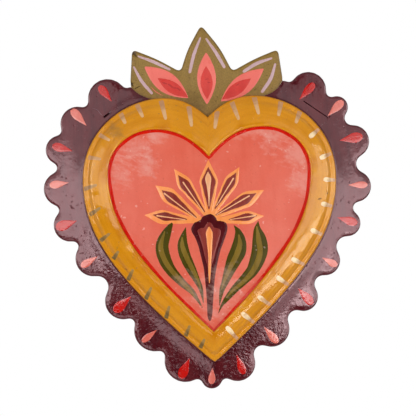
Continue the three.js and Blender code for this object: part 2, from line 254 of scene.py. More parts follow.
def evenly(points, step, closed=True):
    """The same line with points about a step apart."""
    line = np.vstack([points, points[:1]]) if closed else np.asarray(points, float)
    travelled = np.concatenate([[0], np.cumsum(np.linalg.norm(np.diff(line, axis=0), axis=1))])
    count = max(LEAST_POINTS, round(travelled[-1] / step))
    stops = np.linspace(0, travelled[-1], count, endpoint=not closed)
    return np.stack([np.interp(stops, travelled, line[:, axis]) for axis in (0, 1)], 1)


def softened(points, step, softness, closed=True):
    """An even line with its small corners eased away."""
    reach = int(math.ceil(3 * softness / step))
    weights = np.exp(-0.5 * (np.arange(-reach, reach + 1) * step / softness) ** 2)
    weights /= weights.sum()
    if closed:
        padded = np.vstack([points[-reach:], points, points[:reach]])
    else:
        before = 2 * points[0] - points[reach:0:-1]
        after = 2 * points[-1] - points[-2:-reach - 2:-1]
        padded = np.vstack([before, points, after])
    return np.stack([np.convolve(padded[:, axis], weights, "valid") for axis in (0, 1)], 1)


def through(points, steps, closed=False):
    """A smooth line through the points, with some steps between each two."""
    points = np.asarray(points, float)
    if closed:
        padded = np.vstack([points[-1:], points, points[:2]])
    else:
        padded = np.vstack([2 * points[0] - points[1], points, 2 * points[-1] - points[-2]])
    before, here, there, after = padded[:-3], padded[1:-2], padded[2:-1], padded[3:]
    made = []
    for share in np.arange(steps) / steps:
        lead = -0.5 * share + share ** 2 - 0.5 * share ** 3
        near = 1 - 2.5 * share ** 2 + 1.5 * share ** 3
        far = 0.5 * share + 2 * share ** 2 - 1.5 * share ** 3
        trail = -0.5 * share ** 2 + 0.5 * share ** 3
        made.append(lead * before + near * here + far * there + trail * after)
    line = np.stack(made, 1).reshape(-1, points.shape[1])
    return line if closed else np.vstack([line, points[-1:]])


def bezier(points, steps):
    """Points on a curve with one or two control points, its first left out."""
    shares = np.linspace(0, 1, steps + 1)[1:, None]
    points = [np.array(p, float) for p in points]
    while len(points) > 1:
        points = [a + (b - a) * shares for a, b in zip(points, points[1:])]
    return points[0]


def heart_rail(points):
    """A heart's line from its cleft round to its cleft, finer, with both its corners kept."""
    points = anticlockwise(points)
    middle = [i for i in range(len(points)) if abs(points[i, 0]) < MIDDLE_TOLERANCE]
    cleft = max(middle, key=lambda i: points[i, 1])
    points = np.roll(points, -cleft, 0)
    half = len(points) // 2
    down = through(points[:half + 1], RAIL_STEPS)
    up = through(np.vstack([points[half:], points[:1]]), RAIL_STEPS)
    return np.vstack([down[:-1], up[:-1]])


def blunted(rail):
    """A heart's line with its low corner rounded."""
    tip = int(np.argmin(rail[:, 1]))
    near = np.arange(tip - TIP_REACH, tip + TIP_REACH + 1)
    step = np.linalg.norm(rail[tip + 1] - rail[tip])
    rail = rail.copy()
    rail[near] = softened(rail[near], step, TIP_SOFTNESS, closed=False)
    return rail


def inward(points):
    """For each point of an anticlockwise line, the direction to its inside."""
    ahead = unit(np.roll(points, -1, 0) - points)
    along = unit(ahead + np.roll(ahead, 1, 0))
    return np.stack([-along[:, 1], along[:, 0]], 1)


def ring_of(centre, radius, count=24):
    """A circle of flat points."""
    angles = np.linspace(0, FULL_TURN, count, endpoint=False)
    return np.asarray(centre) + radius * np.stack([np.cos(angles), np.sin(angles)], 1)


def rounded_box(half_width, bottom, top, radius, steps=6):
    """A line round an upright box about the middle line, from low on its left, with arcs for corners."""
    corners = np.array([(-half_width, bottom), (half_width, bottom), (half_width, top), (-half_width, top)])
    made = []
    for before, here, after in zip(np.roll(corners, 1, 0), corners, np.roll(corners, -1, 0)):
        start = here + radius * (before - here) / np.linalg.norm(before - here)
        end = here + radius * (after - here) / np.linalg.norm(after - here)
        centre = start + end - here
        for turn in np.linspace(0, QUARTER_TURN, steps):
            made.append(centre + math.cos(turn) * (start - centre) + math.sin(turn) * (end - centre))
    return np.array(made)


def distance(points, line):
    """How far each point is from the nearest point of a line."""
    points = np.asarray(points, float).reshape(-1, 2)
    groups = np.array_split(points, 1 + len(points) // POINTS_AT_ONCE)
    return np.concatenate([np.linalg.norm(group[:, None] - line[None], axis=2).min(1) for group in groups])


def within(points, rings):
    """Which points lie inside the first ring and outside the others."""
    odd = np.zeros(len(points), bool)
    for ring in rings:
        for (x0, z0), (x1, z1) in zip(ring, np.roll(ring, -1, 0)):
            crossing = (z0 > points[:, 1]) != (z1 > points[:, 1])
            if crossing.any():
                at = x0 + (points[:, 1] - z0) * (x1 - x0) / (z1 - z0)
                odd ^= crossing & (points[:, 0] < at)
    return odd


def filling(rings, step, clearance):
    """Points on an even grid inside the rings and clear of them, none of them on a straight side."""
    low, high = rings[0].min(0), rings[0].max(0)
    columns = np.arange(low[0] + step / 4, high[0], step)
    rows = np.arange(low[1] + step / 4, high[1], step * ROW_SPACING)
    grid = np.array([(x + (k % 2) * step / 2, z) for k, z in enumerate(rows) for x in columns]).reshape(-1, 2)
    grid = grid[within(grid, rings)]
    if not len(grid):
        return grid
    return grid[distance(grid, np.vstack(rings)) > clearance]


# Meshes


def edges_of(triangle):
    """A triangle's three edges, whichever way they run."""
    return [frozenset(edge) for edge in zip(triangle, triangle[1:] + triangle[:1])]


def walled_in(triangles, walls):
    """The triangles inside the walls, found by walking in from the rim and changing side at each wall."""
    sharing = {}
    for triangle in triangles:
        for edge in edges_of(triangle):
            sharing.setdefault(edge, []).append(tuple(triangle))
    inside = {}
    waiting = [(found[0], edge in walls) for edge, found in sharing.items() if len(found) == 1]
    while waiting:
        triangle, here = waiting.pop()
        if triangle in inside:
            continue
        inside[triangle] = here
        for edge in edges_of(triangle):
            there = here != (edge in walls)
            waiting += [(other, there) for other in sharing[edge] if other != triangle]
    return [triangle for triangle, here in inside.items() if here]


def grid_faces(rows, columns, closed_across=False):
    """Faces on rows of corners, the last row joined to the first, and each row closed or open."""
    faces = []
    for row in range(rows):
        here, there = row * columns, (row + 1) % rows * columns
        for k in range(columns if closed_across else columns - 1):
            after = (k + 1) % columns
            faces.append((here + k, here + after, there + after, there + k))
    return faces


class Shell:
    """The corners and faces of a piece, gathered before its mesh is made."""

    def __init__(self):
        self.corners = []
        self.faces = []
        self.finishes = []

    def add(self, flat, height):
        """Adds flat points at a height, and gives their numbers."""
        start = len(self.corners)
        heights = np.broadcast_to(height, len(flat))
        self.corners.extend((float(x), -float(h), float(z)) for (x, z), h in zip(flat, heights))
        return np.arange(start, len(self.corners))

    def flat(self, numbers):
        """The flat points that have some numbers."""
        return np.array(self.corners)[numbers][:, [0, 2]]

    def face(self, numbers, finish):
        """Adds one face, with the number of its material."""
        self.faces.append([int(n) for n in numbers])
        self.finishes.append(finish)

    def join(self, one, other, finish=0):
        """Adds a band of faces between two rings with as many points."""
        for numbers in zip(one, np.roll(one, -1), np.roll(other, -1), other):
            self.face(numbers, finish)

    def loft(self, rings, finish=0):
        """Joins each ring to the next."""
        for one, other in zip(rings, rings[1:]):
            self.join(one, other, finish)

    def cap(self, rings, inner=(), finish=0):
        """Adds triangles inside the first ring and outside the others, over some inner points."""
        numbers = np.concatenate([*rings, inner]).astype(int)
        edges, start = [], 0
        for ring in rings:
            edges += [(start + i, start + (i + 1) % len(ring)) for i in range(len(ring))]
            start += len(ring)
        places = [Vector(point) for point in self.flat(numbers)]
        made = delaunay_2d_cdt(places, edges, [], 0, CAP_TOLERANCE)
        _, lines, triangles, sources, line_sources, _ = made
        walls = {frozenset(line) for line, source in zip(lines, line_sources) if source}
        for triangle in walled_in(triangles, walls):
            self.face([numbers[sources[k][0]] for k in triangle], finish)


def metres(flat, height=0.0):
    """Flat points at a height, as places in metres."""
    return [(x * MM, -height * MM, z * MM) for x, z in flat]


def linked(name, data):
    """An object in the scene."""
    thing = bpy.data.objects.new(name, data)
    bpy.context.scene.collection.objects.link(thing)
    return thing


def discard(*helpers):
    """Removes objects that only served to make others."""
    for helper in helpers:
        bpy.data.objects.remove(helper)


def mesh_of(name, points, edges=(), faces=(), values=None):
    """A mesh of points in metres, with what each point carries as attributes."""
    mesh = bpy.data.meshes.new(name)
    mesh.from_pydata([tuple(point) for point in points], list(edges), list(faces))
    for key, numbers in (values or {}).items():
        numbers = np.asarray(numbers, np.float32)
        kind, field = ("FLOAT", "value") if numbers.ndim == 1 else ("FLOAT_VECTOR", "vector")
        mesh.attributes.new(key, kind, "POINT").data.foreach_set(field, numbers.ravel())
    return mesh


def outwards(mesh):
    """Merges a mesh's doubled points and turns its faces outwards."""
    bm = bmesh.new()
    bm.from_mesh(mesh)
    bmesh.ops.remove_doubles(bm, verts=bm.verts, dist=SAME_POINT)
    bmesh.ops.recalc_face_normals(bm, faces=bm.faces)
    bm.to_mesh(mesh)
    bm.free()


def smoothed(mesh, sharpness):
    """Shades a mesh smoothly, but for its sharp edges."""
    mesh.shade_smooth()
    mesh.set_sharp_from_angle(angle=math.radians(sharpness))


def mesh_object(name, corners, faces, materials=(), finishes=None, values=None, sharpness=USUAL_SHARPNESS):
    """A piece from corners in millimetres, with its faces outwards."""
    mesh = mesh_of(name, [[c * MM for c in corner] for corner in corners], (), faces, values)
    for material in materials:
        mesh.materials.append(material)
    if finishes is not None:
        mesh.polygons.foreach_set("material_index", finishes)
    outwards(mesh)
    smoothed(mesh, sharpness)
    return linked(name, mesh)


def seed_object(name, points, edges=(), values=None):
    """An object of loose points or lines, in metres, for a node tree to start from."""
    return linked(name, mesh_of(name, points, edges, (), values))


def turned_object(name, section, steps):
    """A section of radius and height, turned about an upright from the back."""
    corners = []
    for angle in np.linspace(0, FULL_TURN, steps, endpoint=False):
        corners += [(r * math.cos(angle), -h, r * math.sin(angle)) for r, h in section]
    return mesh_object(name, corners, grid_faces(steps, len(section)))


def finished(piece, slot, *nodes, body="ornament"):
    """Hides the solids that a piece stands for, and puts the piece in the body that it moves with. The slot
    of its finish is not used.
    """
    if nodes:
        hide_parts(*nodes)
    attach(piece, body)
    return piece


# Boards


def lacquer_wave(flat, seed):
    """The slow unevenness of a brushed coat at some flat points."""
    draw = np.random.default_rng(seed)
    total = np.zeros(len(flat))
    for length in LACQUER_WAVES:
        angle, phase = draw.uniform(0, FULL_TURN, 2)
        along = flat @ np.array([math.cos(angle), math.sin(angle)])
        total += length * np.sin(FULL_TURN * along / length + phase)
    return LACQUER_WAVE_HEIGHT * total / sum(LACQUER_WAVES)


def gouge_depth(flat, gouge):
    """How deep a gouge is at some flat points."""
    start = np.array(gouge.start)
    along = np.array(gouge.end) - start
    share = np.clip((flat - start) @ along / (along @ along), 0, 1)
    aside = np.linalg.norm(flat - start - share[:, None] * along, axis=1) / gouge.half_width
    return gouge.depth * np.clip(1 - aside ** 2, 0, None)


def gouge_points(gouge):
    """Flat points close enough together to carry a gouge."""
    start = np.array(gouge.start)
    along = np.array(gouge.end) - start
    length = np.linalg.norm(along)
    along = along / length
    across = np.array([-along[1], along[0]])
    step = GOUGE_STEP_SHARE * gouge.half_width + GOUGE_STEP
    stops = np.arange(-gouge.half_width, length + gouge.half_width, step)
    lanes = np.array(GOUGE_LANES) * gouge.half_width
    return np.array([start + along * stop + across * lane for stop in stops for lane in lanes])


def front_points(lines, gouges):
    """Points over a board's front, closer together where it is gouged."""
    spread = filling(lines, BOARD_MESH_STEP, BOARD_MESH_CLEARANCE)
    for gouge in gouges:
        around = gouge._replace(half_width=gouge.half_width * GOUGE_CLEARING)
        spread = spread[gouge_depth(spread, around) <= 0]
        fine = gouge_points(gouge)
        fine = fine[within(fine, lines)]
        fine = fine[distance(fine, np.vstack(lines)) > GOUGE_EDGE]
        spread = np.vstack([spread, fine])
    return spread


def eased_rings(shell, outline, easing, level, way):
    """Rings over a board's rounded edge, from its wall to its face at a level, which looks one way."""
    inner = inward(outline)
    rings = []
    for turn in np.linspace(0, QUARTER_TURN, EDGE_STEPS):
        inset = inner * (easing * (1 - math.cos(turn)))[:, None]
        rings.append(shell.add(outline + inset, level - way * easing * (1 - math.sin(turn))))
    return rings


def let_in(shell, pocket, level):
    """Adds a pocket's walls and floor, and gives the ring of its mouth."""
    mouth = shell.add(pocket, level)
    floor = shell.add(pocket, POCKET_DEPTH)
    shell.join(mouth, floor, 1)
    spread = filling([pocket], POCKET_MESH_STEP, POCKET_MESH_STEP / 2)
    shell.cap([floor], shell.add(spread, POCKET_DEPTH), 1)
    return mouth


def board_shell(outline, easings, levels, bores, pocket=None, gouges=()):
    """A sawn board between two levels, back and front: its edges eased, bored through and let in behind."""
    shell = Shell()
    back, front = levels
    rings = eased_rings(shell, outline, easings[0], back, -1)[::-1]
    rings += eased_rings(shell, outline, easings[1], front, 1)
    shell.loft(rings)
    back_rings, front_rings = [rings[0]], [rings[-1]]
    for centre, section in bores:
        bore = [shell.add(ring_of(centre, radius), height) for radius, height in section]
        shell.loft(bore, 1)
        back_rings.append(bore[0])
        front_rings.append(bore[-1])
    if pocket is not None:
        back_rings.append(let_in(shell, pocket, back))
    lines = [shell.flat(ring) for ring in front_rings]
    shell.cap(front_rings, shell.add(front_points(lines, gouges), front))
    lines = [shell.flat(ring) for ring in back_rings]
    spread = filling(lines, BOARD_MESH_STEP, BOARD_MESH_CLEARANCE)
    shell.cap(back_rings, shell.add(spread, back), 1)
    return shell


def painted_board(name, outline, easing, foot, materials, bores, gouges, wave_seed, pocket=None):
    """A board with paint in front and bare behind: gouged, waved, and raised along the rim's foot."""
    easings = (np.maximum(easing - SEAM_EASING, 0), easing)
    shell = board_shell(outline, easings, (0.0, BOARD_THICK), bores, pocket, gouges)
    corners = np.array(shell.corners)
    points = corners[:, [0, 2]]
    middle = BOARD_THICK / 2
    fore = np.clip((-corners[:, 1] - middle) / middle, 0, 1)
    worn = np.zeros(len(corners))
    for gouge in gouges:
        depth = gouge_depth(points, gouge) * (fore > GOUGED_FROM)
        corners[:, 1] += depth
        worn = np.maximum(worn, np.clip(GOUGE_WEAR * depth / gouge.depth, 0, 1))
    corners[:, 1] -= fore * lacquer_wave(points, wave_seed)
    near = np.exp(-(distance(points, foot) / FOOT_REACH) ** 2)
    corners[:, 1] -= FOOT_RISE * near * (fore > RAISED_FROM) * (1 - worn)
    values = {"edge": np.clip(1 - distance(points, outline) / EDGE_REACH, 0, 1), "worn": worn}
    return mesh_object(name, corners, shell.faces, materials, shell.finishes, values)


# Node trees

RIM_NOISE_SCALE = 90.0
RIM_NOISE_LEVEL = 0.62
RIM_HELD_HEIGHT = 4.0
CLEFT_LEVEL = 10.0
CLEFT_FULL_SHARE = 0.4
RAY_START = -20.0
RAY_LENGTH = 200.0

OBJECT, NUMBER, COUNT, MATERIAL = [
    "NodeSocket" + kind for kind in ("Object", "Float", "Int", "Material")]


def place(tree, kind, inputs=None, **settings):
    """A node with its settings, and each input linked or set."""
    node = tree.nodes.new(kind)
    for key, value in settings.items():
        setattr(node, key, value)
    for key, value in (inputs or {}).items():
        socket = node.inputs[key]
        if isinstance(value, bpy.types.NodeSocket):
            tree.links.new(value, socket)
        else:
            socket.default_value = value
    return node


def flow(tree, kind, inputs=None, output=0, **settings):
    """What comes out of a node."""
    return place(tree, kind, inputs, **settings).outputs[output]


def maths(tree, operation, first, second=0.0, **settings):
    return flow(tree, "ShaderNodeMath", {0: first, 1: second}, operation=operation, **settings)


def vector_maths(tree, operation, first, second, output=0):
    return flow(tree, "ShaderNodeVectorMath", {0: first, 1: second}, output, operation=operation)


def ranged(tree, value, low, high, to_low=0.0, to_high=1.0):
    """Carries a value from one range to another, and no further."""
    return flow(tree, "ShaderNodeMapRange", {
        "Value": value, "From Min": low, "From Max": high, "To Min": to_low, "To Max": to_high})


def split(tree, three):
    """A vector's three numbers."""
    return place(tree, "ShaderNodeSeparateXYZ", {0: three}).outputs


def vector(tree, **numbers):
    """A vector from its x, y and z, nought where one is left out."""
    return flow(tree, "ShaderNodeCombineXYZ", {"xyz".index(axis): value for axis, value in numbers.items()})


def named_value(tree, name, kind="FLOAT"):
    return flow(tree, "GeometryNodeInputNamedAttribute", {"Name": name}, "Attribute", data_type=kind)


def shape_of(tree, thing):
    return flow(tree, "GeometryNodeObjectInfo", {"Object": thing}, "Geometry")


def geometry_tree(name, **inputs):
    """An empty geometry tree with named inputs, and what comes in by them."""
    tree = bpy.data.node_groups.new(name, "GeometryNodeTree")
    tree.interface.new_socket("Geometry", in_out="INPUT", socket_type="NodeSocketGeometry")
    for label, kind in inputs.items():
        tree.interface.new_socket(label, in_out="INPUT", socket_type=kind)
    tree.interface.new_socket("Geometry", in_out="OUTPUT", socket_type="NodeSocketGeometry")
    return tree, place(tree, "NodeGroupInput").outputs


def end_tree(tree, geometry, material):
    """Closes a tree with Realize Instances and Set Material."""
    whole = flow(tree, "GeometryNodeRealizeInstances", {"Geometry": geometry})
    coated = flow(tree, "GeometryNodeSetMaterial", {"Geometry": whole, "Material": material})
    place(tree, "NodeGroupOutput", {"Geometry": coated})
    return tree


def grown(name, seed, tree, sharpness=USUAL_SHARPNESS, **values):
    """Runs a tree on a seed object, and leaves its result as a plain mesh object."""
    modifier = seed.modifiers.new(tree.name, "NODES")
    modifier.node_group = tree
    for item in tree.interface.items_tree:
        if item.in_out == "INPUT" and item.name in values:
            modifier[item.identifier] = values[item.name]
    depsgraph = bpy.context.evaluated_depsgraph_get()
    mesh = bpy.data.meshes.new_from_object(
        seed.evaluated_get(depsgraph), preserve_all_data_layers=True, depsgraph=depsgraph)
    seed.modifiers.remove(modifier)
    discard(seed)
    mesh.name = name
    smoothed(mesh, sharpness)
    return linked(name, mesh)


def moulding_place(tree, given, rails, sections):
    """Where a moulding's corner lies: a section's share of the way between the rails, and its height."""
    rail = split(tree, rails[0])
    beside = maths(tree, "DIVIDE", maths(tree, "ABSOLUTE", rail[0]), given["Cleft_Reach"])
    near = ranged(tree, beside, CLEFT_FULL_SHARE, 1.0, 1.0, 0.0)
    upper = ranged(tree, rail[2], 0.0, CLEFT_LEVEL * MM)
    blend = flow(tree, "ShaderNodeMix", {
        0: maths(tree, "MULTIPLY", near, upper), 4: sections[0], 5: sections[1]}, 1, data_type="VECTOR")
    share, _, height = split(tree, blend)
    across = vector_maths(tree, "SUBTRACT", rails[1], rails[0])
    reach = flow(tree, "ShaderNodeVectorMath", {0: across, "Scale": share}, operation="SCALE")
    foot = vector_maths(tree, "ADD", rails[0], reach)
    cloud = flow(tree, "ShaderNodeTexNoise", {"Vector": foot, "Scale": RIM_NOISE_SCALE, "Detail": 2.0})
    uneven = maths(tree, "MULTIPLY", maths(tree, "SUBTRACT", cloud, RIM_NOISE_LEVEL), given["Unevenness"])
    held = ranged(tree, maths(tree, "SUBTRACT", height, given["Base"]), 0.0, RIM_HELD_HEIGHT * MM)
    height = maths(tree, "ADD", height, maths(tree, "MULTIPLY", uneven, held))
    out = vector(tree, y=maths(tree, "MULTIPLY", height, -1.0))
    return vector_maths(tree, "ADD", foot, out), share


def moulding_tree():
    """A section carried round between an outer and an inner rail, slightly uneven."""
    shapes = ("Outer_Rail", "Inner_Rail", "Section", "Cleft_Section")
    tree, given = geometry_tree("moulding", **{label: OBJECT for label in shapes}, Cleft_Reach=NUMBER,
                                Unevenness=NUMBER, Base=NUMBER, Finish=MATERIAL)
    lines = [shape_of(tree, given[label]) for label in shapes]
    stations, stops = [
        flow(tree, "GeometryNodeAttributeDomainSize", {"Geometry": line}, "Point Count")
        for line in (lines[0], lines[2])]
    columns = maths(tree, "ADD", stops, 1.0)
    grid = flow(tree, "GeometryNodeMeshGrid", {
        "Vertices X": maths(tree, "ADD", stations, 1.0), "Vertices Y": columns}, "Mesh")
    index = flow(tree, "GeometryNodeInputIndex")
    station = maths(tree, "MODULO", maths(tree, "FLOOR", maths(tree, "DIVIDE", index, columns)), stations)
    stop = maths(tree, "MODULO", maths(tree, "MODULO", index, columns), stops)
    position = flow(tree, "GeometryNodeInputPosition")
    taken = [
        flow(tree, "GeometryNodeSampleIndex", {"Geometry": line, "Value": position, "Index": number},
             data_type="FLOAT_VECTOR")
        for line, number in zip(lines, (station, station, stop, stop))]
    corner, share = moulding_place(tree, given, taken[:2], taken[2:])
    shaped = flow(tree, "GeometryNodeSetPosition", {"Geometry": grid, "Position": corner})
    turn = maths(tree, "MULTIPLY", maths(tree, "DIVIDE", station, stations), FULL_TURN)
    brush = vector(tree, x=maths(tree, "COSINE", turn), y=maths(tree, "SINE", turn), z=share)
    marked = flow(tree, "GeometryNodeStoreNamedAttribute", {
        "Geometry": shaped, "Name": "brush", "Value": brush}, data_type="FLOAT_VECTOR", domain="POINT")
    closed = flow(tree, "GeometryNodeMergeByDistance", {"Geometry": marked, "Distance": SAME_SOLID_POINT})
    return end_tree(tree, closed, given["Finish"])


def laid_on(tree, geometry, surface, coat):
    """Lays paint on a surface from in front, each corner as proud of it as its lift says."""
    target = shape_of(tree, surface)
    now = split(tree, flow(tree, "GeometryNodeInputPosition"))
    start = vector(tree, x=now[0], y=RAY_START * MM, z=now[2])
    ray = place(tree, "GeometryNodeRaycast", {
        "Target Geometry": target, "Source Position": start,
        "Ray Direction": (0.0, 1.0, 0.0), "Ray Length": RAY_LENGTH * MM}).outputs
    nearest = flow(tree, "GeometryNodeProximity", {
        0: target, "Sample Position": start}, "Position", target_element="FACES")
    landed = flow(tree, "GeometryNodeSwitch", {
        "Switch": ray["Is Hit"], "False": nearest, "True": ray["Hit Position"]}, input_type="VECTOR")
    proud = maths(tree, "MULTIPLY", maths(tree, "MULTIPLY", named_value(tree, "lift"), coat), -1.0)
    return flow(tree, "GeometryNodeSetPosition", {
        "Geometry": geometry, "Position": landed, "Offset": vector(tree, y=proud)})


def strokes_tree():
    """Painted strokes laid on a surface."""
    tree, given = geometry_tree("strokes", Surface=OBJECT, Coat=NUMBER, Finish=MATERIAL)
    laid = laid_on(tree, given["Geometry"], given["Surface"], given["Coat"])
    return end_tree(tree, laid, given["Finish"])


def dabs_tree():
    """One dab of paint repeated on points, each with its turn and size, and laid on a surface."""
    tree, given = geometry_tree("dabs", Dab=OBJECT, Surface=OBJECT, Coat=NUMBER, Finish=MATERIAL)
    euler = vector(tree, y=maths(tree, "MULTIPLY", named_value(tree, "turn"), -1.0))
    spread = flow(tree, "GeometryNodeInstanceOnPoints", {
        "Points": given["Geometry"], "Instance": shape_of(tree, given["Dab"]),
        "Rotation": flow(tree, "FunctionNodeEulerToRotation", {0: euler}),
        "Scale": named_value(tree, "size", "FLOAT_VECTOR")})
    whole = flow(tree, "GeometryNodeRealizeInstances", {"Geometry": spread})
    laid = laid_on(tree, whole, given["Surface"], given["Coat"])
    return end_tree(tree, laid, given["Finish"])


def fasteners_tree():
    """One fastener repeated on points, each with its turn about its own length."""
    tree, given = geometry_tree("fasteners", Fastener=OBJECT, Finish=MATERIAL)
    euler = vector(tree, y=named_value(tree, "turn"))
    driven = flow(tree, "GeometryNodeInstanceOnPoints", {
        "Points": given["Geometry"], "Instance": shape_of(tree, given["Fastener"]),
        "Rotation": flow(tree, "FunctionNodeEulerToRotation", {0: euler})})
    return end_tree(tree, driven, given["Finish"])


def wire_tree():
    """Round wire along a line."""
    tree, given = geometry_tree("wire", Radius=NUMBER, Sides=COUNT, Finish=MATERIAL)
    line = flow(tree, "GeometryNodeMeshToCurve", {"Mesh": given["Geometry"]})
    section = flow(tree, "GeometryNodeCurvePrimitiveCircle", {
        "Radius": given["Radius"], "Resolution": given["Sides"]})
    wire = flow(tree, "GeometryNodeCurveToMesh", {
        "Curve": line, "Profile Curve": section, "Fill Caps": True})
    return end_tree(tree, wire, given["Finish"])


MOULDING = moulding_tree()
STROKES = strokes_tree()
DABS = dabs_tree()
FASTENERS = fasteners_tree()
WIRE = wire_tree()


# Materials

# How many features of each pattern of a coat go to a metre
MOTTLE = 75.0
RIM_CLOUDS = 70.0
FINE_GRAIN = 1500.0
DUST_PITS = 420.0
PIT_PATCHES = 160.0
HAZE = 240.0
RIPPLE = 210.0
ORANGE_PEEL = 800.0
COARSE = 640.0
UPRIGHT_STREAKS = (300.0, 300.0, 50.0)
RIM_STREAKS = (2.0, 2.0, 11.0)

# How high a coat's patterns stand, as multiples of its peel, and where it turns coarse, in metres
RIPPLE_HEIGHT = 2.5
ORANGE_PEEL_HEIGHT = 1.6
PIT_DEPTH = 8.0
COARSE_HEIGHT = 6.0
COARSE_LOW = -0.055
COARSE_HIGH = -0.02
COARSE_SLOPE = 0.3

# How many features of the pale patches of painted sheen and of the darker patches go to a metre, and how
# their strokes lean
SHEEN_AND_DARK_LEAN = math.radians(-20)
SHEEN_AND_DARK_STROKES = (240.0, 400.0, 560.0)
SHEEN_AND_DARK_DRIFT = 120.0
SHEEN_AND_DARK_GRIT = 900.0
SHEEN_AND_DARK_FLECKS = 480.0

# The same for bare wood, thinly laid pearly paint and drawn metal, with their colours; the pearly paint's
# colours hold painted highlight and painted shade
WOOD_PALE = (196, 158, 112)
WOOD_DARK = (156, 114, 72)
WOOD_BEND = 24.0
WOOD_SWAY = (0.012, 0.012, 0.0)
WOOD_GRAIN = (520.0, 520.0, 14.0)
WOOD_PORES = (2600.0, 2600.0, 130.0)
PAINT_RUN = 210.0
PEARL_CLOUDS = 420.0
PEARL_SHINE = 0.12
PEARL_HIGHLIGHT_ENDS = ((248, 222, 176), (196, 148, 112))
HALF_SHADED_ENDS = ((208, 160, 110), (188, 138, 96))
SHADED_ENDS = ((160, 126, 68), (110, 88, 46))
PEARL_STAIN = (205, 148, 66)
DRAWN_LINES = (300.0, 300.0, 3500.0)
DULL_SPOTS = 480.0

# A coat's roughness, gloss, height of its relief, share of each pattern, and what else shows in it
Coat = namedtuple(
    "Coat", "gloss shine peel brushing streaks grain dust marks tint edge along_rim worn coarse_below",
    defaults=((0.05, 0.14), 0.3, 0.016, 0.5, 0.7, 0.12, 900.0, None, None, None, False, False, False))
# Pale patches of painted sheen and darker patches: their spots, as flat points with a reach, their colour and
# their strength
SheenAndDarkPatches = namedtuple("SheenAndDarkPatches", "spots tone strength")


def srgb(red, green, blue):
    """A colour from 0 to 255 as the linear value that a shader takes."""
    channels = []
    for value in (red, green, blue):
        share = value / 255
        channels.append(share / 12.92 if share <= 0.04045 else ((share + 0.055) / 1.055) ** 2.4)
    return (*channels, 1.0)


def begin_material(name):
    """A material with its tree, and a shader joined to the output."""
    material = bpy.data.materials.new(name)
    material.use_nodes = True
    tree = material.node_tree
    tree.nodes.clear()
    shader = place(tree, "ShaderNodeBsdfPrincipled")
    place(tree, "ShaderNodeOutputMaterial", {"Surface": shader.outputs[0]})
    return material, tree, shader


def end_material(tree, shader, colour, roughness, normal):
    """Joins what a material has made to its shader."""
    for key, value in (("Base Color", colour), ("Roughness", roughness), ("Normal", normal)):
        tree.links.new(value, shader.inputs[key])


def own_place(tree):
    return flow(tree, "ShaderNodeTexCoord", None, "Object")


def attribute_value(tree, name):
    return flow(tree, "ShaderNodeAttribute", None, "Fac", attribute_name=name)


def brushed_place(tree):
    """Where a point lies round the rim and across it, for strokes that follow the rim."""
    return flow(tree, "ShaderNodeAttribute", None, "Vector", attribute_name="brush")


def noise(tree, where, scale, detail=3.0, shift=(0.0, 0.0, 0.0)):
    """Cloudy values from 0 to 1, with a scale for all ways alike or one for each.

    A shift keeps them from matching those that another call makes.
    """
    stretch = (1.0, 1.0, 1.0)
    if isinstance(scale, tuple):
        scale, stretch = 1.0, scale
    moved = flow(tree, "ShaderNodeMapping", {"Vector": where, "Scale": stretch, "Location": shift})
    return flow(tree, "ShaderNodeTexNoise", {"Vector": moved, "Scale": scale, "Detail": detail}, "Fac")


def mixed(tree, share, first, second):
    """A colour between two."""
    return flow(tree, "ShaderNodeMix", {0: share, 6: first, 7: second}, 2, data_type="RGBA")


def glazed(tree, colour, over, value, low, high, most=1.0):
    """A colour with another over it as a value rises from low to high, up to a share."""
    return mixed(tree, ranged(tree, value, low, high, 0.0, most), colour, over)


def bumped(tree, layers):
    """A normal raised by layers of values, each with its height in millimetres."""
    normal = None
    for value, height in layers:
        bump = place(tree, "ShaderNodeBump", {"Height": value, "Distance": height * MM, "Strength": 1.0})
        if normal is not None:
            tree.links.new(normal, bump.inputs["Normal"])
        normal = bump.outputs[0]
    return normal


def sheen_and_dark_patches(tree, where, colour, rubs):
    """A colour with flecks of another all over, and streaky patches of it near some spots: painted sheen
    where the other colour is pale, and darker patches where it is dark.
    """
    tone = srgb(*rubs.tone)
    leaning = flow(tree, "ShaderNodeVectorRotate", {
        "Vector": where, "Angle": SHEEN_AND_DARK_LEAN}, rotation_type="Y_AXIS")
    strokes = noise(tree, leaning, SHEEN_AND_DARK_STROKES, 5.0)
    drift = noise(tree, where, SHEEN_AND_DARK_DRIFT, 4.0, (0.1, 2.4, 0.6))
    grit = noise(tree, where, SHEEN_AND_DARK_GRIT, 2.0, (1.3, 0.5, 2.2))
    marks = maths(tree, "ADD", maths(tree, "MULTIPLY", strokes, 0.5), maths(tree, "MULTIPLY", drift, 0.5))
    marks = maths(tree, "ADD", marks, maths(tree, "MULTIPLY", grit, 0.2))
    flecks = noise(tree, where, SHEEN_AND_DARK_FLECKS, 1.0, (0.9, 1.9, 0.2))
    colour = glazed(tree, colour, tone, flecks, 0.72, 0.77, 0.3)
    flat = vector_maths(tree, "MULTIPLY", where, (1.0, 0.0, 1.0))
    for x, z, reach in rubs.spots:
        away = vector_maths(tree, "DISTANCE", flat, (x * MM, 0.0, z * MM), "Value")
        near = ranged(tree, away, 0.2 * reach * MM, reach * MM, 0.12, -0.3)
        colour = glazed(tree, colour, tone, maths(tree, "ADD", marks, near), 0.52, 0.8, rubs.strength)
    return colour


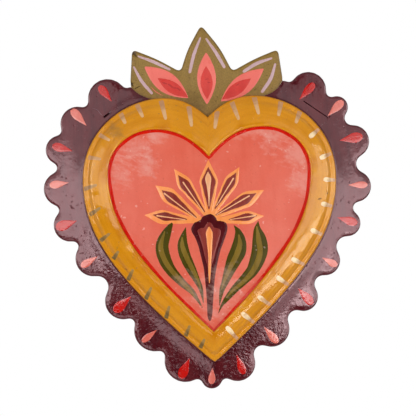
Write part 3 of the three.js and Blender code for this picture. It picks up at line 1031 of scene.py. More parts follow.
def coat_colour(tree, where, colours, coat, streak, specks):
    """A coat's colour: mottled, streaked by the brush, with painted shade along its edge where asked, dusty,
    with pale patches of painted sheen and darker patches where asked, and worn where it was.
    """
    main, deep, light, dirt = colours
    colour = glazed(tree, main, light, noise(tree, where, MOTTLE, 4.0), 0.35, 0.65, 0.7)
    colour = glazed(tree, colour, deep, streak, 0.45, 0.7, coat.streaks)
    if coat.along_rim:
        inner = ranged(tree, split(tree, brushed_place(tree))[2], 0.5, 0.9)
        clouds = ranged(tree, noise(tree, where, RIM_CLOUDS, 3.0, (0.2, 1.1, 0.4)), 0.46, 0.58, 0.0, 0.8)
        colour = mixed(tree, maths(tree, "MULTIPLY", clouds, inner), colour, deep)
    # Painted shade: the colour darkens towards the board's rounded edge, where a coat asks for it
    if coat.edge:
        colour = glazed(tree, colour, srgb(*coat.edge), attribute_value(tree, "edge"), 0.7, 1.0, 0.7)
    fine = noise(tree, where, FINE_GRAIN, 2.0, (2.0, 0.6, 1.5))
    colour = glazed(tree, colour, dirt, fine, 0.35, 0.65, coat.grain)
    colour = glazed(tree, colour, dirt, specks, 0.71, 0.78, 0.55)
    # Pale patches of painted sheen, and darker patches, where a coat has them
    if coat.marks:
        colour = sheen_and_dark_patches(tree, where, colour, coat.marks)
    if coat.worn:
        ragged = maths(tree, "ADD", attribute_value(tree, "worn"), ranged(tree, specks, 0.3, 0.7, -0.4, 0.4))
        colour = glazed(tree, colour, dirt, ragged, 0.35, 0.75, 0.9)
    return colour


def coat_relief(tree, where, coat, streak):
    """A coat's normal: slow ripples, brush streaks, orange peel, and dust pits in patches."""
    ripple = noise(tree, where, RIPPLE, 2.0, (0.3, 0.8, 0.1))
    orange_peel = noise(tree, where, ORANGE_PEEL, 2.0)
    cells = flow(tree, "ShaderNodeTexVoronoi", {"Vector": where, "Scale": DUST_PITS}, "Distance")
    patches = ranged(tree, noise(tree, where, PIT_PATCHES, 2.0), 0.52, 0.62)
    pits = maths(tree, "MULTIPLY", ranged(tree, cells, 0.06, 0.2, -1.0, 0.0), patches)
    layers = [
        (ripple, RIPPLE_HEIGHT), (streak, coat.brushing),
        (orange_peel, ORANGE_PEEL_HEIGHT), (pits, PIT_DEPTH)]
    if coat.coarse_below:
        own = split(tree, where)
        level = maths(tree, "ADD", own[2], maths(tree, "MULTIPLY", own[0], COARSE_SLOPE))
        below = ranged(tree, level, COARSE_LOW, COARSE_HIGH, 1.0, 0.0)
        layers.append((maths(tree, "MULTIPLY", noise(tree, where, COARSE, 2.0), below), COARSE_HEIGHT))
    return bumped(tree, [(value, height * coat.peel) for value, height in layers])


def lacquer(name, *colours, **options):
    """Brushed enamel under varnish, from its main colour, a deeper and a lighter one, and its dirt."""
    coat = Coat(**options)
    material, tree, shader = begin_material(name)
    where = own_place(tree)
    if coat.along_rim:
        streak = noise(tree, brushed_place(tree), RIM_STREAKS)
    else:
        streak = noise(tree, where, UPRIGHT_STREAKS)
    specks = noise(tree, where, coat.dust, 1.0, (3.1, 1.7, 0.4))
    colour = coat_colour(tree, where, [srgb(*c) for c in colours], coat, streak, specks)
    haze = ranged(tree, noise(tree, where, HAZE, 3.0, (0.7, 0.2, 0.9)), 0.3, 0.75, *coat.gloss)
    dull = maths(tree, "ADD", haze, ranged(tree, specks, 0.68, 0.74, 0.0, 0.5))
    end_material(tree, shader, colour, dull, coat_relief(tree, where, coat, streak))
    shader.inputs["Specular IOR Level"].default_value = coat.shine
    if coat.tint:
        shader.inputs["Specular Tint"].default_value = coat.tint
    return material


def bare_wood(name, slop):
    """Plain sawn board, with its grain upright and paint that ran round from the edge."""
    material, tree, shader = begin_material(name)
    pale, dark = srgb(*WOOD_PALE), srgb(*WOOD_DARK)
    where = own_place(tree)
    bend = noise(tree, where, WOOD_BEND, 2.0)
    swayed = flow(tree, "ShaderNodeVectorMath", {
        0: vector(tree, x=bend, y=bend), 1: WOOD_SWAY, 2: where}, operation="MULTIPLY_ADD")
    grain = noise(tree, swayed, WOOD_GRAIN, 5.0)
    pores = noise(tree, swayed, WOOD_PORES, 2.0)
    colour = glazed(tree, pale, dark, grain, 0.3, 0.7)
    colour = glazed(tree, colour, dark, pores, 0.62, 0.72, 0.5)
    frayed = ranged(tree, noise(tree, where, PAINT_RUN, 4.0), 0.2, 0.8, -0.45, 0.45)
    run = ranged(tree, maths(tree, "ADD", attribute_value(tree, "edge"), frayed), 0.62, 0.68)
    colour = mixed(tree, run, colour, srgb(*slop))
    rough = ranged(tree, run, 0.0, 1.0, 0.72, 0.3)
    end_material(tree, shader, colour, rough, bumped(tree, [(grain, 0.05), (pores, 0.05), (run, 0.06)]))
    return material


def tick_silver():
    """Pearly paint laid on thinly, with painted light in its colour: a cream painted highlight at a tick's
    inner end, greyer painted shade towards its outer end, and more painted shade as its shade value rises,
    through tan to olive.
    """
    material, tree, shader = begin_material("tick_silver")
    cloud = noise(tree, own_place(tree), PEARL_CLOUDS)
    uneven = ranged(tree, cloud, 0.3, 0.7, -0.25, 0.25)
    run = ranged(tree, maths(tree, "ADD", attribute_value(tree, "run"), uneven), 0.25, 0.75)
    # Each pair runs from a painted highlight at the inner end to painted shade at the outer end; tan and
    # olive are painted shade
    pearl, tan, shaded = [
        mixed(tree, run, *(srgb(*end) for end in ends)) for ends in (PEARL_HIGHLIGHT_ENDS, HALF_SHADED_ENDS, SHADED_ENDS)]
    # The tint attribute is each tick's painted shade
    tint = attribute_value(tree, "tint")
    colour = glazed(tree, pearl, tan, tint, 0.0, 0.5)
    colour = glazed(tree, colour, shaded, tint, 0.5, 1.0)
    colour = glazed(tree, colour, srgb(*PEARL_STAIN), cloud, 0.55, 0.75, 0.6)
    rough = ranged(tree, cloud, 0.3, 0.7, 0.2, 0.4)
    end_material(tree, shader, colour, rough, bumped(tree, [(cloud, 0.06)]))
    shader.inputs["Specular IOR Level"].default_value = PEARL_SHINE
    return material


def metal(name, bright, dull, roughness):
    """Plated steel: fine drawn lines and dull spots."""
    material, tree, shader = begin_material(name)
    where = own_place(tree)
    drawn = noise(tree, where, DRAWN_LINES)
    spots = noise(tree, where, DULL_SPOTS, 4.0)
    colour = glazed(tree, srgb(*bright), srgb(*dull), spots, 0.5, 0.72)
    lines = ranged(tree, drawn, 0.3, 0.7, roughness, roughness + 0.12)
    rough = maths(tree, "ADD", lines, ranged(tree, spots, 0.5, 0.75, 0.0, 0.2))
    end_material(tree, shader, colour, rough, bumped(tree, [(drawn, 0.006), (spots, 0.01)]))
    shader.inputs["Metallic"].default_value = 1.0
    return material


# Pale patches of painted sheen on the panel, near its upper edges and low down
PANEL_PAINTED_SHEEN = SheenAndDarkPatches([
    (-44, 20, 15), (-37, 32, 16), (-25, 38, 13), (-31, 22, 12), (22, 40, 16), (34, 36, 17),
    (43, 26, 17), (46, 11, 15), (2, -42, 26)], (234, 206, 196), 0.25)
# Pale patches of painted sheen over the leaves and the calyx, low on the panel
LEAF_PAINTED_SHEEN = SheenAndDarkPatches([(6, -36, 17), (-13, -38, 15), (-2, -46, 16)], (214, 178, 164), 0.3)
# Pale patches of painted sheen on the red line, low down towards the heart's tip
LINE_PAINTED_SHEEN = SheenAndDarkPatches([(16, -42, 26), (-3, -58, 22)], (232, 150, 135), 0.24)
RIM_GRIME = SheenAndDarkPatches([(-46.6, 39.6, 10)], (140, 104, 56), 0.55)
# Darker patches on the crown near its foot, by the rim's cleft
CROWN_FOOT_DARKENING = SheenAndDarkPatches([(-7, 53, 13)], (80, 58, 14), 0.45)
MATT = (0.26, 0.4)
DEAD_MATT = (0.28, 0.42)
# Each paint: its main colour, a deeper and a lighter one, its dirt, and how its coat departs from the usual
PAINTS = {
    "maroon_lacquer": ((80, 18, 26), (60, 10, 20), (92, 26, 32), (34, 8, 12), {
        "shine": 0.36, "peel": 0.010, "brushing": 0.0, "dust": 560.0, "tint": (1.0, 0.76, 0.8, 1.0),
        "worn": True, "coarse_below": True}),
    # The olive's edge colour is painted shade along the crown's rounded edge, and its marks darken it near
    # its foot
    "olive_paint": ((144, 115, 50), (130, 100, 40), (154, 125, 62), (70, 52, 28), {
        "gloss": DEAD_MATT, "shine": 0.12, "streaks": 0.35, "grain": 0.3, "edge": (112, 84, 34),
        "marks": CROWN_FOOT_DARKENING, "worn": True}),
    "ochre_lacquer": ((212, 140, 12), (197, 117, 0), (223, 151, 30), (150, 88, 10), {
        "shine": 0.22, "brushing": 3.0, "streaks": 0.4, "marks": RIM_GRIME, "tint": (1.0, 0.94, 0.76, 1.0),
        "along_rim": True}),
    "pink_lacquer": ((224, 104, 84), (218, 94, 74), (228, 116, 96), (196, 88, 68), {
        "shine": 0.05, "streaks": 0.3, "marks": PANEL_PAINTED_SHEEN}),
    "line_red": ((216, 26, 8), (202, 15, 4), (221, 40, 20), (160, 16, 8), {
        "shine": 0.04, "marks": LINE_PAINTED_SHEEN}),
    "drop_red": ((192, 16, 10), (176, 8, 6), (202, 34, 26), (140, 14, 12), {"shine": 0.3}),
    "drop_pink": ((218, 110, 96), (206, 94, 78), (228, 134, 122), (188, 92, 80), {"shine": 0.34}),
    "crown_pink": ((228, 98, 84), (216, 82, 68), (234, 110, 96), (200, 80, 66), {
        "gloss": MATT, "shine": 0.3, "streaks": 0.25}),
    "crown_red": ((206, 42, 32), (184, 24, 16), (214, 56, 44), (140, 26, 16), {
        "gloss": MATT, "shine": 0.2, "streaks": 0.3}),
    "brush_red": ((176, 28, 20), (160, 18, 14), (190, 38, 28), (130, 16, 12), {"gloss": MATT, "shine": 0.2}),
    "speck_brown": ((150, 96, 28), (120, 74, 20), (170, 112, 40), (90, 54, 14), {"shine": 0.1}),
    "scratch_grey": ((116, 84, 92), (100, 66, 76), (130, 100, 106), (80, 50, 58), {"shine": 0.1}),
    "lilac_paint": ((190, 156, 162), (176, 142, 140), (200, 168, 174), (150, 120, 110), {
        "gloss": DEAD_MATT, "shine": 0.3}),
    "peach_paint": ((246, 152, 82), (240, 138, 64), (250, 166, 100), (214, 116, 62), {"shine": 0.18}),
    "petal_brown": ((136, 52, 46), (116, 38, 34), (150, 68, 60), (80, 24, 24), {"shine": 0.06}),
    "calyx_dark": ((78, 18, 24), (62, 10, 18), (92, 28, 30), (40, 8, 12), {
        "shine": 0.05, "marks": LEAF_PAINTED_SHEEN}),
    "leaf_green": ((73, 66, 17), (58, 55, 10), (86, 78, 26), (40, 38, 10), {
        "shine": 0.02, "marks": LEAF_PAINTED_SHEEN}),
    "leaf_light": ((128, 104, 38), (112, 90, 30), (140, 116, 48), (90, 74, 26), {
        "shine": 0.02, "marks": LEAF_PAINTED_SHEEN}),
    "vein_pale": ((240, 176, 126), (228, 156, 104), (246, 190, 146), (180, 110, 80), {"shine": 0.18}),
}
finishes = {name: lacquer(name, *colours, **options) for name, (*colours, options) in PAINTS.items()}
finishes["tick_silver"] = tick_silver()
finishes["frill_back"] = bare_wood("frill_back", (74, 22, 28))
finishes["crown_back"] = bare_wood("crown_back", (146, 116, 62))
finishes["bright_steel"] = metal("bright_steel", (196, 196, 194), (138, 134, 128), 0.22)
finishes["brassed_steel"] = metal("brassed_steel", (204, 168, 96), (150, 112, 56), 0.24)


# The boards, the rim and the panel


def spot(node):
    """The flat middle of a round fastener."""
    low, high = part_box(node)
    return ((low.x + high.x) / 2 / MM, (low.z + high.z) / 2 / MM)


def brad_bores(group):
    return [(spot(node), BRAD_HOLE) for node in BRAD_NODES[group]]


def crown_outline():
    """The crown's sawn line, anticlockwise."""
    line = evenly(anticlockwise(chain_at("leaf_crown", BOARD_WALL_TOP)), OUTLINE_STEP)
    return softened(line, OUTLINE_STEP, OUTLINE_SOFTNESS)


def frill_run():
    """The frill's sawn line, from where it leaves the crown on the left to where it meets it on the right."""
    line = chain_at("frill_board", BOARD_WALL_TOP)
    if line[0, 0] > line[-1, 0]:
        line = line[::-1]
    line = evenly(line, OUTLINE_STEP, closed=False)
    return softened(line, OUTLINE_STEP, OUTLINE_SOFTNESS, closed=False)


def seam_numbers(crown, run):
    """The crown line's points that lie against the frill board, from right to left round the foot."""
    right = int(np.argmin(np.linalg.norm(crown - run[-1], axis=1)))
    left = int(np.argmin(np.linalg.norm(crown - run[0], axis=1)))
    count = len(crown)
    return [(right - k) % count for k in range((right - left) % count + 1)]


def eased(outline, seam):
    """Each outline point's rounding: next to none along the seam, and fuller away from it."""
    return np.minimum(BOARD_EASING, SEAM_EASING + SEAM_FADE * distance(outline, outline[seam]))


def make_crown(crown, seam, foot):
    """The olive board, let into the frill's top edge."""
    materials = [finishes["olive_paint"], finishes["crown_back"]]
    piece = painted_board("leaf_crown_board", crown, eased(crown, seam), foot, materials,
                          brad_bores("crown"), CROWN_GOUGES, CROWN_WAVE_SEED)
    return finished(piece, "olive_paint", "leaf_crown")


def make_frill(crown, seam, run, foot):
    """The maroon board with its sawn lobes, and the hanger's pocket in its back."""
    outline = np.vstack([run, (crown - inward(crown) * SEAM_GAP)[seam]])
    along_crown = np.arange(len(run), len(outline))
    pocket = rounded_box(POCKET_HALF_WIDTH, POCKET_BOTTOM, POCKET_TOP, POCKET_ROUND)
    bores = brad_bores("rim") + brad_bores("panel")
    materials = [finishes["maroon_lacquer"], finishes["frill_back"]]
    piece = painted_board("frill_board_painted", outline, eased(outline, along_crown), foot, materials,
                          bores, FRILL_GOUGES, FRILL_WAVE_SEED, pocket)
    return finished(piece, "maroon_lacquer", "frill_board")


def rim_section(shoulder, crease, rise):
    """The rim's section, as share of the way in and height over the board.

    Given are the heights of its shoulder, of the crease behind it and of the rise half way to its crest.
    """
    parts = [
        [(0.0, 0.0), (0.0, 2.0), (0.0, 5.2)],
        bezier([(0.0, 5.2), (0.005, shoulder - 0.2), (0.08, shoulder)], SECTION_STEPS),
        bezier([(0.08, shoulder), (0.14, (shoulder + crease) / 2), (0.2, crease)], SECTION_STEPS // 2),
        bezier([(0.2, crease), (0.26, rise), (0.29, 9.3), (0.37, 9.7)], SECTION_STEPS),
        bezier([(0.37, 9.7), (0.5, 10.15), (0.65, 10.76), (0.92, 10.96)], SECTION_STEPS),
        bezier([(0.92, 10.96), (0.97, 10.96), (1.0, 10.8), (1.0, 10.2)], SECTION_STEPS),
        [(1.0, 7.4), (1.0, 4.0), (1.0, 0.0)],
    ]
    return np.vstack(parts)


def section_object(name, section):
    return seed_object(name, [(share, 0.0, (BOARD_THICK + height) * MM) for share, height in section])


def make_rim(outer, inner):
    """The ochre moulding, carried round the heart by its tree."""
    outer_rail = seed_object("outer_rail", metres(outer))
    inner_rail = seed_object("inner_rail", metres(inner))
    side = section_object("rim_section", rim_section(*SIDE_HEIGHTS))
    cleft = section_object("cleft_section", rim_section(*CLEFT_HEIGHTS))
    piece = grown(
        "heart_rim_moulding", seed_object("rim_seed", [(0, 0, 0)]), MOULDING, RIM_SHARPNESS,
        Outer_Rail=outer_rail, Inner_Rail=inner_rail, Section=side, Cleft_Section=cleft,
        Cleft_Reach=CLEFT_REACH * MM, Unevenness=RIM_UNEVENNESS * MM,
        Base=BOARD_THICK * MM, Finish=finishes["ochre_lacquer"])
    discard(outer_rail, inner_rail, side, cleft)
    outwards(piece.data)
    return finished(piece, "ochre_lacquer", "heart_rim")


def make_bead(outer):
    """The lacquer that pooled along the rim's foot, from one side of the crown round to the other."""
    line = outer - inward(outer) * BEAD_STEP_OUT
    clear = (np.abs(line[:, 0]) > BEAD_CLEAR_OF_MIDDLE) | (line[:, 1] < 0)
    first = int(np.argmax(clear & ~np.roll(clear, 1)))
    points = metres(np.roll(line, -first, 0)[:int(clear.sum())], BOARD_THICK + FOOT_RISE)
    edges = [(i, i + 1) for i in range(len(points) - 1)]
    piece = grown("lacquer_bead", seed_object("bead_line", points, edges), WIRE,
                  Radius=BEAD_RADIUS * MM, Sides=BEAD_SIDES, Finish=finishes["maroon_lacquer"])
    outwards(piece.data)
    finished(piece, "maroon_lacquer")


def make_panel(wall):
    """The pink heart inside the rim, with a rounded edge and a low dome."""
    shell = Shell()
    inner = inward(wall)
    rings = [shell.add(wall, BOARD_THICK), shell.add(wall, PANEL_WALL_TOP)]
    for turn in np.linspace(0, QUARTER_TURN, PANEL_EDGE_STEPS + 1)[1:]:
        inset = PANEL_EDGE * (1 - math.cos(turn))
        rings.append(shell.add(wall + inner * inset, PANEL_WALL_TOP + PANEL_EDGE * math.sin(turn)))
    brow = wall + inner * PANEL_EDGE
    for share in np.linspace(0, 1, PANEL_RINGS + 1)[1:-1]:
        flat = brow + (np.array(PANEL_CENTRE) - brow) * share
        dome = PANEL_DOME * math.sin(min(share / PANEL_DOME_SHARE, 1) * QUARTER_TURN)
        wave = lacquer_wave(flat, PANEL_WAVE_SEED) * min(1, share / PANEL_WAVE_ONSET) * PANEL_WAVE_SHARE
        rings.append(shell.add(flat, PANEL_WALL_TOP + PANEL_EDGE + dome + wave))
    shell.loft(rings)
    shell.cap([rings[0]])
    shell.cap([rings[-1]])
    piece = mesh_object("heart_panel_painted", shell.corners, shell.faces, [finishes["pink_lacquer"]],
                        sharpness=PANEL_SHARPNESS)
    return finished(piece, "pink_lacquer", "heart_panel")


# Painted marks


def mark_shell(outlines, below, fineness):
    """Closed sheets of paint, still flat, each from an outline and its spine, and their corners' lifts."""
    shell, lifts = Shell(), []
    step = PAINT_STEP * fineness
    for number, (outline, spine) in enumerate(outlines):
        rim_lift = below + PAINT_SUNK + STROKE_LIFT * number
        outline = anticlockwise(evenly(outline, step))
        inside = filling([outline], FILL_STEP * step, FILL_CLEARANCE * step)
        spine = np.asarray(spine, float).reshape(-1, 2)
        spine = spine[within(spine, [outline])]
        spine = spine[distance(spine, outline) > SPINE_CLEARANCE * step]
        if len(inside) and len(spine):
            inside = inside[distance(inside, spine) > SPINE_ROOM * step]
        inner = np.vstack([inside, spine])
        depths = np.minimum(1, distance(inner, outline) / (PAINT_EDGE * fineness))
        raised = rim_lift + (1 - PAINT_SUNK) * depths
        top = shell.add(outline, rim_lift)
        middle = shell.add(inner, raised)
        under = shell.add(outline, PAINT_UNDER)
        lifts += [rim_lift] * len(top) + list(raised) + [PAINT_UNDER] * len(under)
        shell.cap([top], middle)
        shell.join(top, under)
        shell.cap([under])
    return shell, lifts


def paint(name, outlines, surface, colour, slot, below=0, fineness=1.0):
    """Strokes of one colour on a surface, in one piece, over some coats below."""
    shell, lifts = mark_shell(outlines, below, fineness)
    material = finishes[colour]
    seed = mesh_object(name + "_flat", shell.corners, shell.faces, [material], None, {"lift": lifts})
    piece = grown(name, seed, STROKES, PAINT_SHARPNESS,
                  Surface=surface, Coat=PAINT_COAT * MM, Finish=material)
    return finished(piece, slot)


def two_sides(spine, half):
    """The right and the left edge of a stroke, from its spine and its half widths, and the way it runs."""
    along = unit(np.gradient(spine, axis=0))
    aside = np.stack([-along[:, 1], along[:, 0]], 1) * half[:, None]
    return spine - aside, spine + aside, along


def round_end(middle, outward, half):
    """The rounded end of a stroke, anticlockwise from its right side to its left."""
    side = np.array([outward[1], -outward[0]])
    angles = np.linspace(0, math.pi, ROUND_END_STEPS)[1:-1]
    return np.array([middle + half * (math.cos(a) * side + math.sin(a) * outward) for a in angles])


def along_line(points, widths, steps=8):
    """The outline of a brush stroke along points with its widths there, and its spine."""
    line = through([(*p, w / 2) for p, w in zip(points, widths)], steps)
    spine, half = line[:, :2], np.maximum(line[:, 2], STROKE_LEAST)
    right, left, along = two_sides(spine, half)
    start = round_end(spine[0], -along[0], half[0])
    finish = round_end(spine[-1], along[-1], half[-1])
    return np.vstack([right, finish, left[::-1], start]), spine


def stroke(stations, spread=1.0):
    """A brush stroke from points paired with widths, the widths spread."""
    return along_line([p for p, _ in stations], [w * spread for _, w in stations])


def petal(root, tip, width, belly, root_width, reach):
    """A kite-shaped petal, widest at a share of its length, with its root drawn out by a reach."""
    root, tip = np.array(root), np.array(tip)
    length = np.linalg.norm(tip - root)
    root = root - (tip - root) * reach / length
    belly = (belly * length + reach) / (length + reach)
    shares = np.linspace(0, 1, PETAL_STEPS)
    half = 0.5 * np.interp(shares, [0, belly, 1], [root_width, width, PETAL_TIP])
    padded = np.pad(half, PETAL_SOFTNESS, "reflect", reflect_type="odd")
    window = 2 * PETAL_SOFTNESS + 1
    half = np.convolve(padded, np.ones(window) / window, "valid")
    half += HAND_WOBBLE * np.sin(math.pi * shares) * np.sin(WOBBLE_TURNS * shares + root[0])
    spine = root + (tip - root) * shares[:, None]
    right, left, _ = two_sides(spine, half)
    return np.vstack([right, left[::-1]]), spine[1:-1]


def almond(start, end, width):
    """A pointed oval between two points."""
    shares = np.linspace(0, 1, ALMOND_STEPS)
    spine = np.array(start) + (np.array(end) - start) * shares[:, None]
    right, left, _ = two_sides(spine, 0.5 * width * np.sin(math.pi * shares) ** ALMOND_FULLNESS)
    return np.vstack([right, left[::-1]]), spine


def dab_object(name):
    """A dab one metre long and one wide, from its tail to its tip, for the dabs tree to size."""
    half_widths = DAB_SHAPES[name]
    shares = np.linspace(0, 1, DAB_STEPS)
    half = np.interp(shares, *zip(*half_widths))
    half = np.convolve(np.pad(half, 1, "edge"), [0.25, 0.5, 0.25], "valid")
    half[-1] = half_widths[-1][1]
    corners, lifts = [], []
    for across, lift in DAB_ROWS:
        for k in range(DAB_STEPS):
            level = min(lift, PAINT_SUNK) if k in (0, DAB_STEPS - 1) else lift
            corners.append(((shares[k] - 0.5) / MM, -level, half[k] * across / MM))
            lifts.append(level)
    faces = grid_faces(len(DAB_ROWS), DAB_STEPS)
    for k in (0, DAB_STEPS - 1):
        faces.append([row * DAB_STEPS + k for row in range(len(DAB_ROWS))])
    runs = [share for _ in DAB_ROWS for share in shares]
    return mesh_object(name, corners, faces, values={"lift": lifts, "run": runs})


def dabs(name, shape, rows, surface, colour, slot, layer, painted_shades=None):
    """A dab repeated: each row gives its middle, its turn in degrees, its length and its width."""
    values = {
        "turn": [math.radians(row[2]) for row in rows],
        "size": [(row[3] * MM, 1.0, row[4] * MM) for row in rows],
        # Each dab's painted shade, read by the tick paint as its tint
        "tint": painted_shades or [0.0] * len(rows),
    }
    seed = seed_object(name + "_points", metres(row[:2] for row in rows), (), values)
    dab = dab_object(shape)
    piece = grown(name, seed, DABS, PAINT_SHARPNESS, Dab=dab, Surface=surface,
                  Coat=PAINT_COAT * layer * MM, Finish=finishes[colour])
    discard(dab)
    finished(piece, slot)


# Dabs: the half width of each along its length, and each row of corners across it with its lift
DAB_STEPS = 25
DAB_ROWS = [
    (-1.0, PAINT_UNDER), (-1.0, PAINT_SUNK), (-0.8, 0.8), (-0.4, 1.0), (0.0, 1.05),
    (0.4, 1.0), (0.8, 0.8), (1.0, PAINT_SUNK), (1.0, PAINT_UNDER),
]
DAB_SHAPES = {
    "drop": [
        (0.0, 0.12), (0.06, 0.3), (0.16, 0.44), (0.3, 0.5),
        (0.45, 0.46), (0.65, 0.3), (0.85, 0.13), (1.0, 0.02)],
    "tick": [(0.0, 0.16), (0.08, 0.3), (0.4, 0.38), (0.8, 0.47), (0.95, 0.5), (1.0, 0.4)],
    "blob": [(0.0, 0.2), (0.08, 0.4), (0.25, 0.5), (0.45, 0.44), (0.65, 0.34), (0.95, 0.32), (1.0, 0.26)],
    "speck": [(0.0, 0.1), (0.2, 0.38), (0.45, 0.5), (0.75, 0.36), (1.0, 0.08)],
}
THIN = 0.5
FULL = 0.8

# Each drop on the frill: middle x and z, turn of its point, length and width
RED_DROPS = [
    (-50.6, 58.3, -53, 10.0, 4.4), (-72.9, 31.7, -17, 10.4, 4.6), (-72.0, -6.3, 17, 11.0, 5.4),
    (-45.2, -46.9, 40, 11.4, 5.4), (-15.0, -79.9, 64, 11.0, 5.2),
    (49.9, 56.5, -134, 11.0, 4.4), (71.3, 32.4, -171, 11.6, 5.4), (68.2, -8.4, 162, 10.4, 4.6),
    (46.1, -45.6, 131, 11.0, 4.8), (12.7, -78.7, 109, 10.4, 4.2),
]
PINK_DROPS = [
    (-64.2, 46.8, -49, 11.2, 4.6), (-75.1, 13.9, 7, 9.6, 4.2), (-61.2, -25.2, 30, 9.6, 4.0),
    (-32.2, -63.1, 37, 9.6, 3.4), (-1.6, -84.1, 85, 8.0, 3.8),
    (63.9, 47.6, -137, 10.8, 4.4), (74.0, 9.1, 179, 9.6, 3.7), (58.8, -28.8, 150, 8.6, 3.8),
    (28.4, -64.4, 129, 10.6, 4.2),
]
# Each tick on the rim: middle x and z, turn of its outer end, and length
TICKS = [
    (-8.6, 45.5, 96, 10.4), (-21.8, 49.0, 103, 10.0), (-33.5, 49.0, 114, 7.3), (-42.0, 45.4, 115, 5.9),
    (-51.4, 36.2, 150, 6.3), (-56.6, 26.1, 171, 6.7), (-59.2, 11.9, -164, 7.2), (-57.2, -0.2, -148, 6.7),
    (-52.7, -13.2, -144, 6.2), (-47.5, -22.2, -126, 5.0), (-40.6, -32.3, -118, 6.2),
    (-31.9, -41.7, -118, 7.0), (-22.7, -51.3, -107, 6.7), (-13.0, -60.8, -113, 6.0), (-5.9, -67.3, -117, 5.2),
    (4.15, 43.4, 80, 9.0), (13.8, 47.6, 110, 9.8), (24.4, 49.8, 103, 9.1), (35.9, 48.0, 78, 7.6),
    (44.8, 43.5, 68, 6.5),
]
# Ticks down the right side, which begin with a blob
BLOB_TICKS = [
    (52.7, 35.4, 40, 6.7), (58.0, 24.0, 22, 6.6), (59.6, 12.0, -5, 6.2), (57.9, -0.4, -16, 6.0),
    (52.4, -13.8, -26, 6.6), (42.8, -28.2, -28, 7.6), (34.8, -37.5, -36, 7.7), (25.4, -47.0, -38, 8.0),
    (17.1, -55.3, -41, 8.4), (9.0, -62.6, -51, 9.0),
]
TICK_WIDTH = 2.3
TOP_TICK_WIDTH = 2.7
TOP_TICK_LEVEL = 40
BLOB_TICK_WIDTH = 2.6
# Painted shade on the ticks: its value at one level, how far below that it gains one, and the least
TICK_SHADE = 0.45
TICK_SHADE_LEVEL = 30
TICK_SHADE_FALL = 60
TICK_SHADE_LEAST = 0.42
# Each brush mark on the crown's red and each speck on the rim: middle x and z, turn, length and width
BRUSH_MARKS = [
    (-20.9, 62.6, -20, 2.8, 0.9), (-17.9, 61.2, -35, 3.6, 1.0), (-16.2, 60.2, -12, 3.2, 0.8),
    (-14.0, 59.4, -40, 2.6, 0.8), (0.2, 64.1, 10, 2.0, 0.5), (1.4, 62.3, -15, 1.8, 0.5),
    (15.4, 60.8, 30, 2.4, 0.5),
]
RIM_SPECKS = [(54.4, 2.7, 15, 2.2, 0.8), (58.3, 5.3, 60, 1.3, 0.6), (-42.6, -29.4, -50, 1.4, 0.5)]
FRILL_SCRATCH = [((-57.5, 51.3), 0.3), ((-55.0, 50.3), 0.5), ((-53.2, 48.2), 0.45), ((-51.6, 46.4), 0.25)]

# Each petal: root, tip, width, share of its length where it is widest
PETALS = [
    ((-0.5, -2.6), (-0.3, 23.8), 9.9, 0.62),
    ((-2.9, -2.2), (-17.4, 19.7), 7.6, 0.70),
    ((-6.3, -4.8), (-27.0, 11.8), 8.4, 0.71),
    ((-8.3, -6.2), (-32.9, -2.8), 7.6, 0.67),
    ((2.1, -1.6), (15.1, 19.7), 7.4, 0.70),
    ((3.3, -4.0), (27.0, 7.9), 8.3, 0.67),
    ((5.7, -6.4), (26.6, -5.0), 7.2, 0.63),
]
PETAL_INNERS = [
    ((-0.65, -1.0), (-0.35, 20.4), 7.7, 0.66),
    ((-2.7, -2.3), (-15.6, 16.7), 5.4, 0.76),
    ((-6.9, -4.9), (-24.0, 9.4), 5.6, 0.76),
    ((-11.6, -5.6), (-28.9, -2.8), 4.8, 0.66),
    ((2.2, -0.8), (13.6, 17.2), 5.2, 0.73),
    ((2.5, -3.9), (23.3, 6.5), 5.6, 0.72),
    ((8.9, -6.3), (23.3, -4.7), 4.4, 0.66),
]
PETAL_STEPS = 61
PETAL_SOFTNESS = 4
PETAL_TIP = 0.1
PETAL_ROOT = 2.1
ROOT_REACH = 3.0
INNER_ROOT = 0.7
HAND_WOBBLE = 0.06
WOBBLE_TURNS = 23
PETAL_VEINS = [
    ((-13.1, 12.9), (-3.4, -2.0)), ((-22.6, 7.7), (-7.4, -4.9)), ((-26.5, -3.3), (-12.6, -5.7)),
    ((11.9, 14.1), (3.2, 0.9)), ((19.5, 5.2), (3.2, -3.6)), ((22.1, -4.7), (9.6, -6.3)),
]
VEIN_WIDTHS = (0.8, 0.4)
VEIN_STEPS = 20
VEIN_FINENESS = 0.4
CENTRE_DROP = [
    ((-0.6, 17.6), 0.4), ((-0.6, 14.6), 3.0), ((-0.5, 10.5), 1.8), ((-0.5, 5.0), 0.7), ((-0.6, 0.6), 0.3)]

# The calyx and its brown inside, anticlockwise from the top, and the drop on it
CALYX = [
    (-0.8, -3.1), (-3.8, -4.4), (-5.3, -6.1), (-7.9, -7.2), (-9.6, -9.7), (-9.5, -11.8), (-7.8, -15.1),
    (-6.3, -19.7), (-5.2, -24.8), (-4.1, -30.1), (-3.6, -36.4), (-3.2, -42.6), (-3.0, -48.9), (-2.9, -54.2),
    (-1.7, -56.4), (-0.6, -53.1), (0.0, -46.9), (0.8, -38.6), (1.7, -32.4), (3.1, -26.3), (4.5, -21.3),
    (6.3, -16.8), (7.9, -12.3), (8.2, -9.4), (7.0, -7.3), (4.9, -6.6), (3.2, -6.5), (2.5, -4.8), (1.1, -3.5),
]
CALYX_BROWN = [
    (-0.9, -7.2), (-2.4, -8.2), (-3.5, -9.9), (-5.1, -10.0), (-6.8, -11.2), (-6.1, -13.9), (-4.9, -17.7),
    (-4.0, -21.9), (-3.1, -26.1), (-1.9, -30.2), (-0.8, -30.2), (1.0, -26.2), (2.4, -21.2), (3.8, -17.1),
    (4.9, -13.0), (4.7, -11.0), (2.9, -10.2), (1.5, -9.8), (0.7, -8.1),
]
CALYX_STEPS = 5
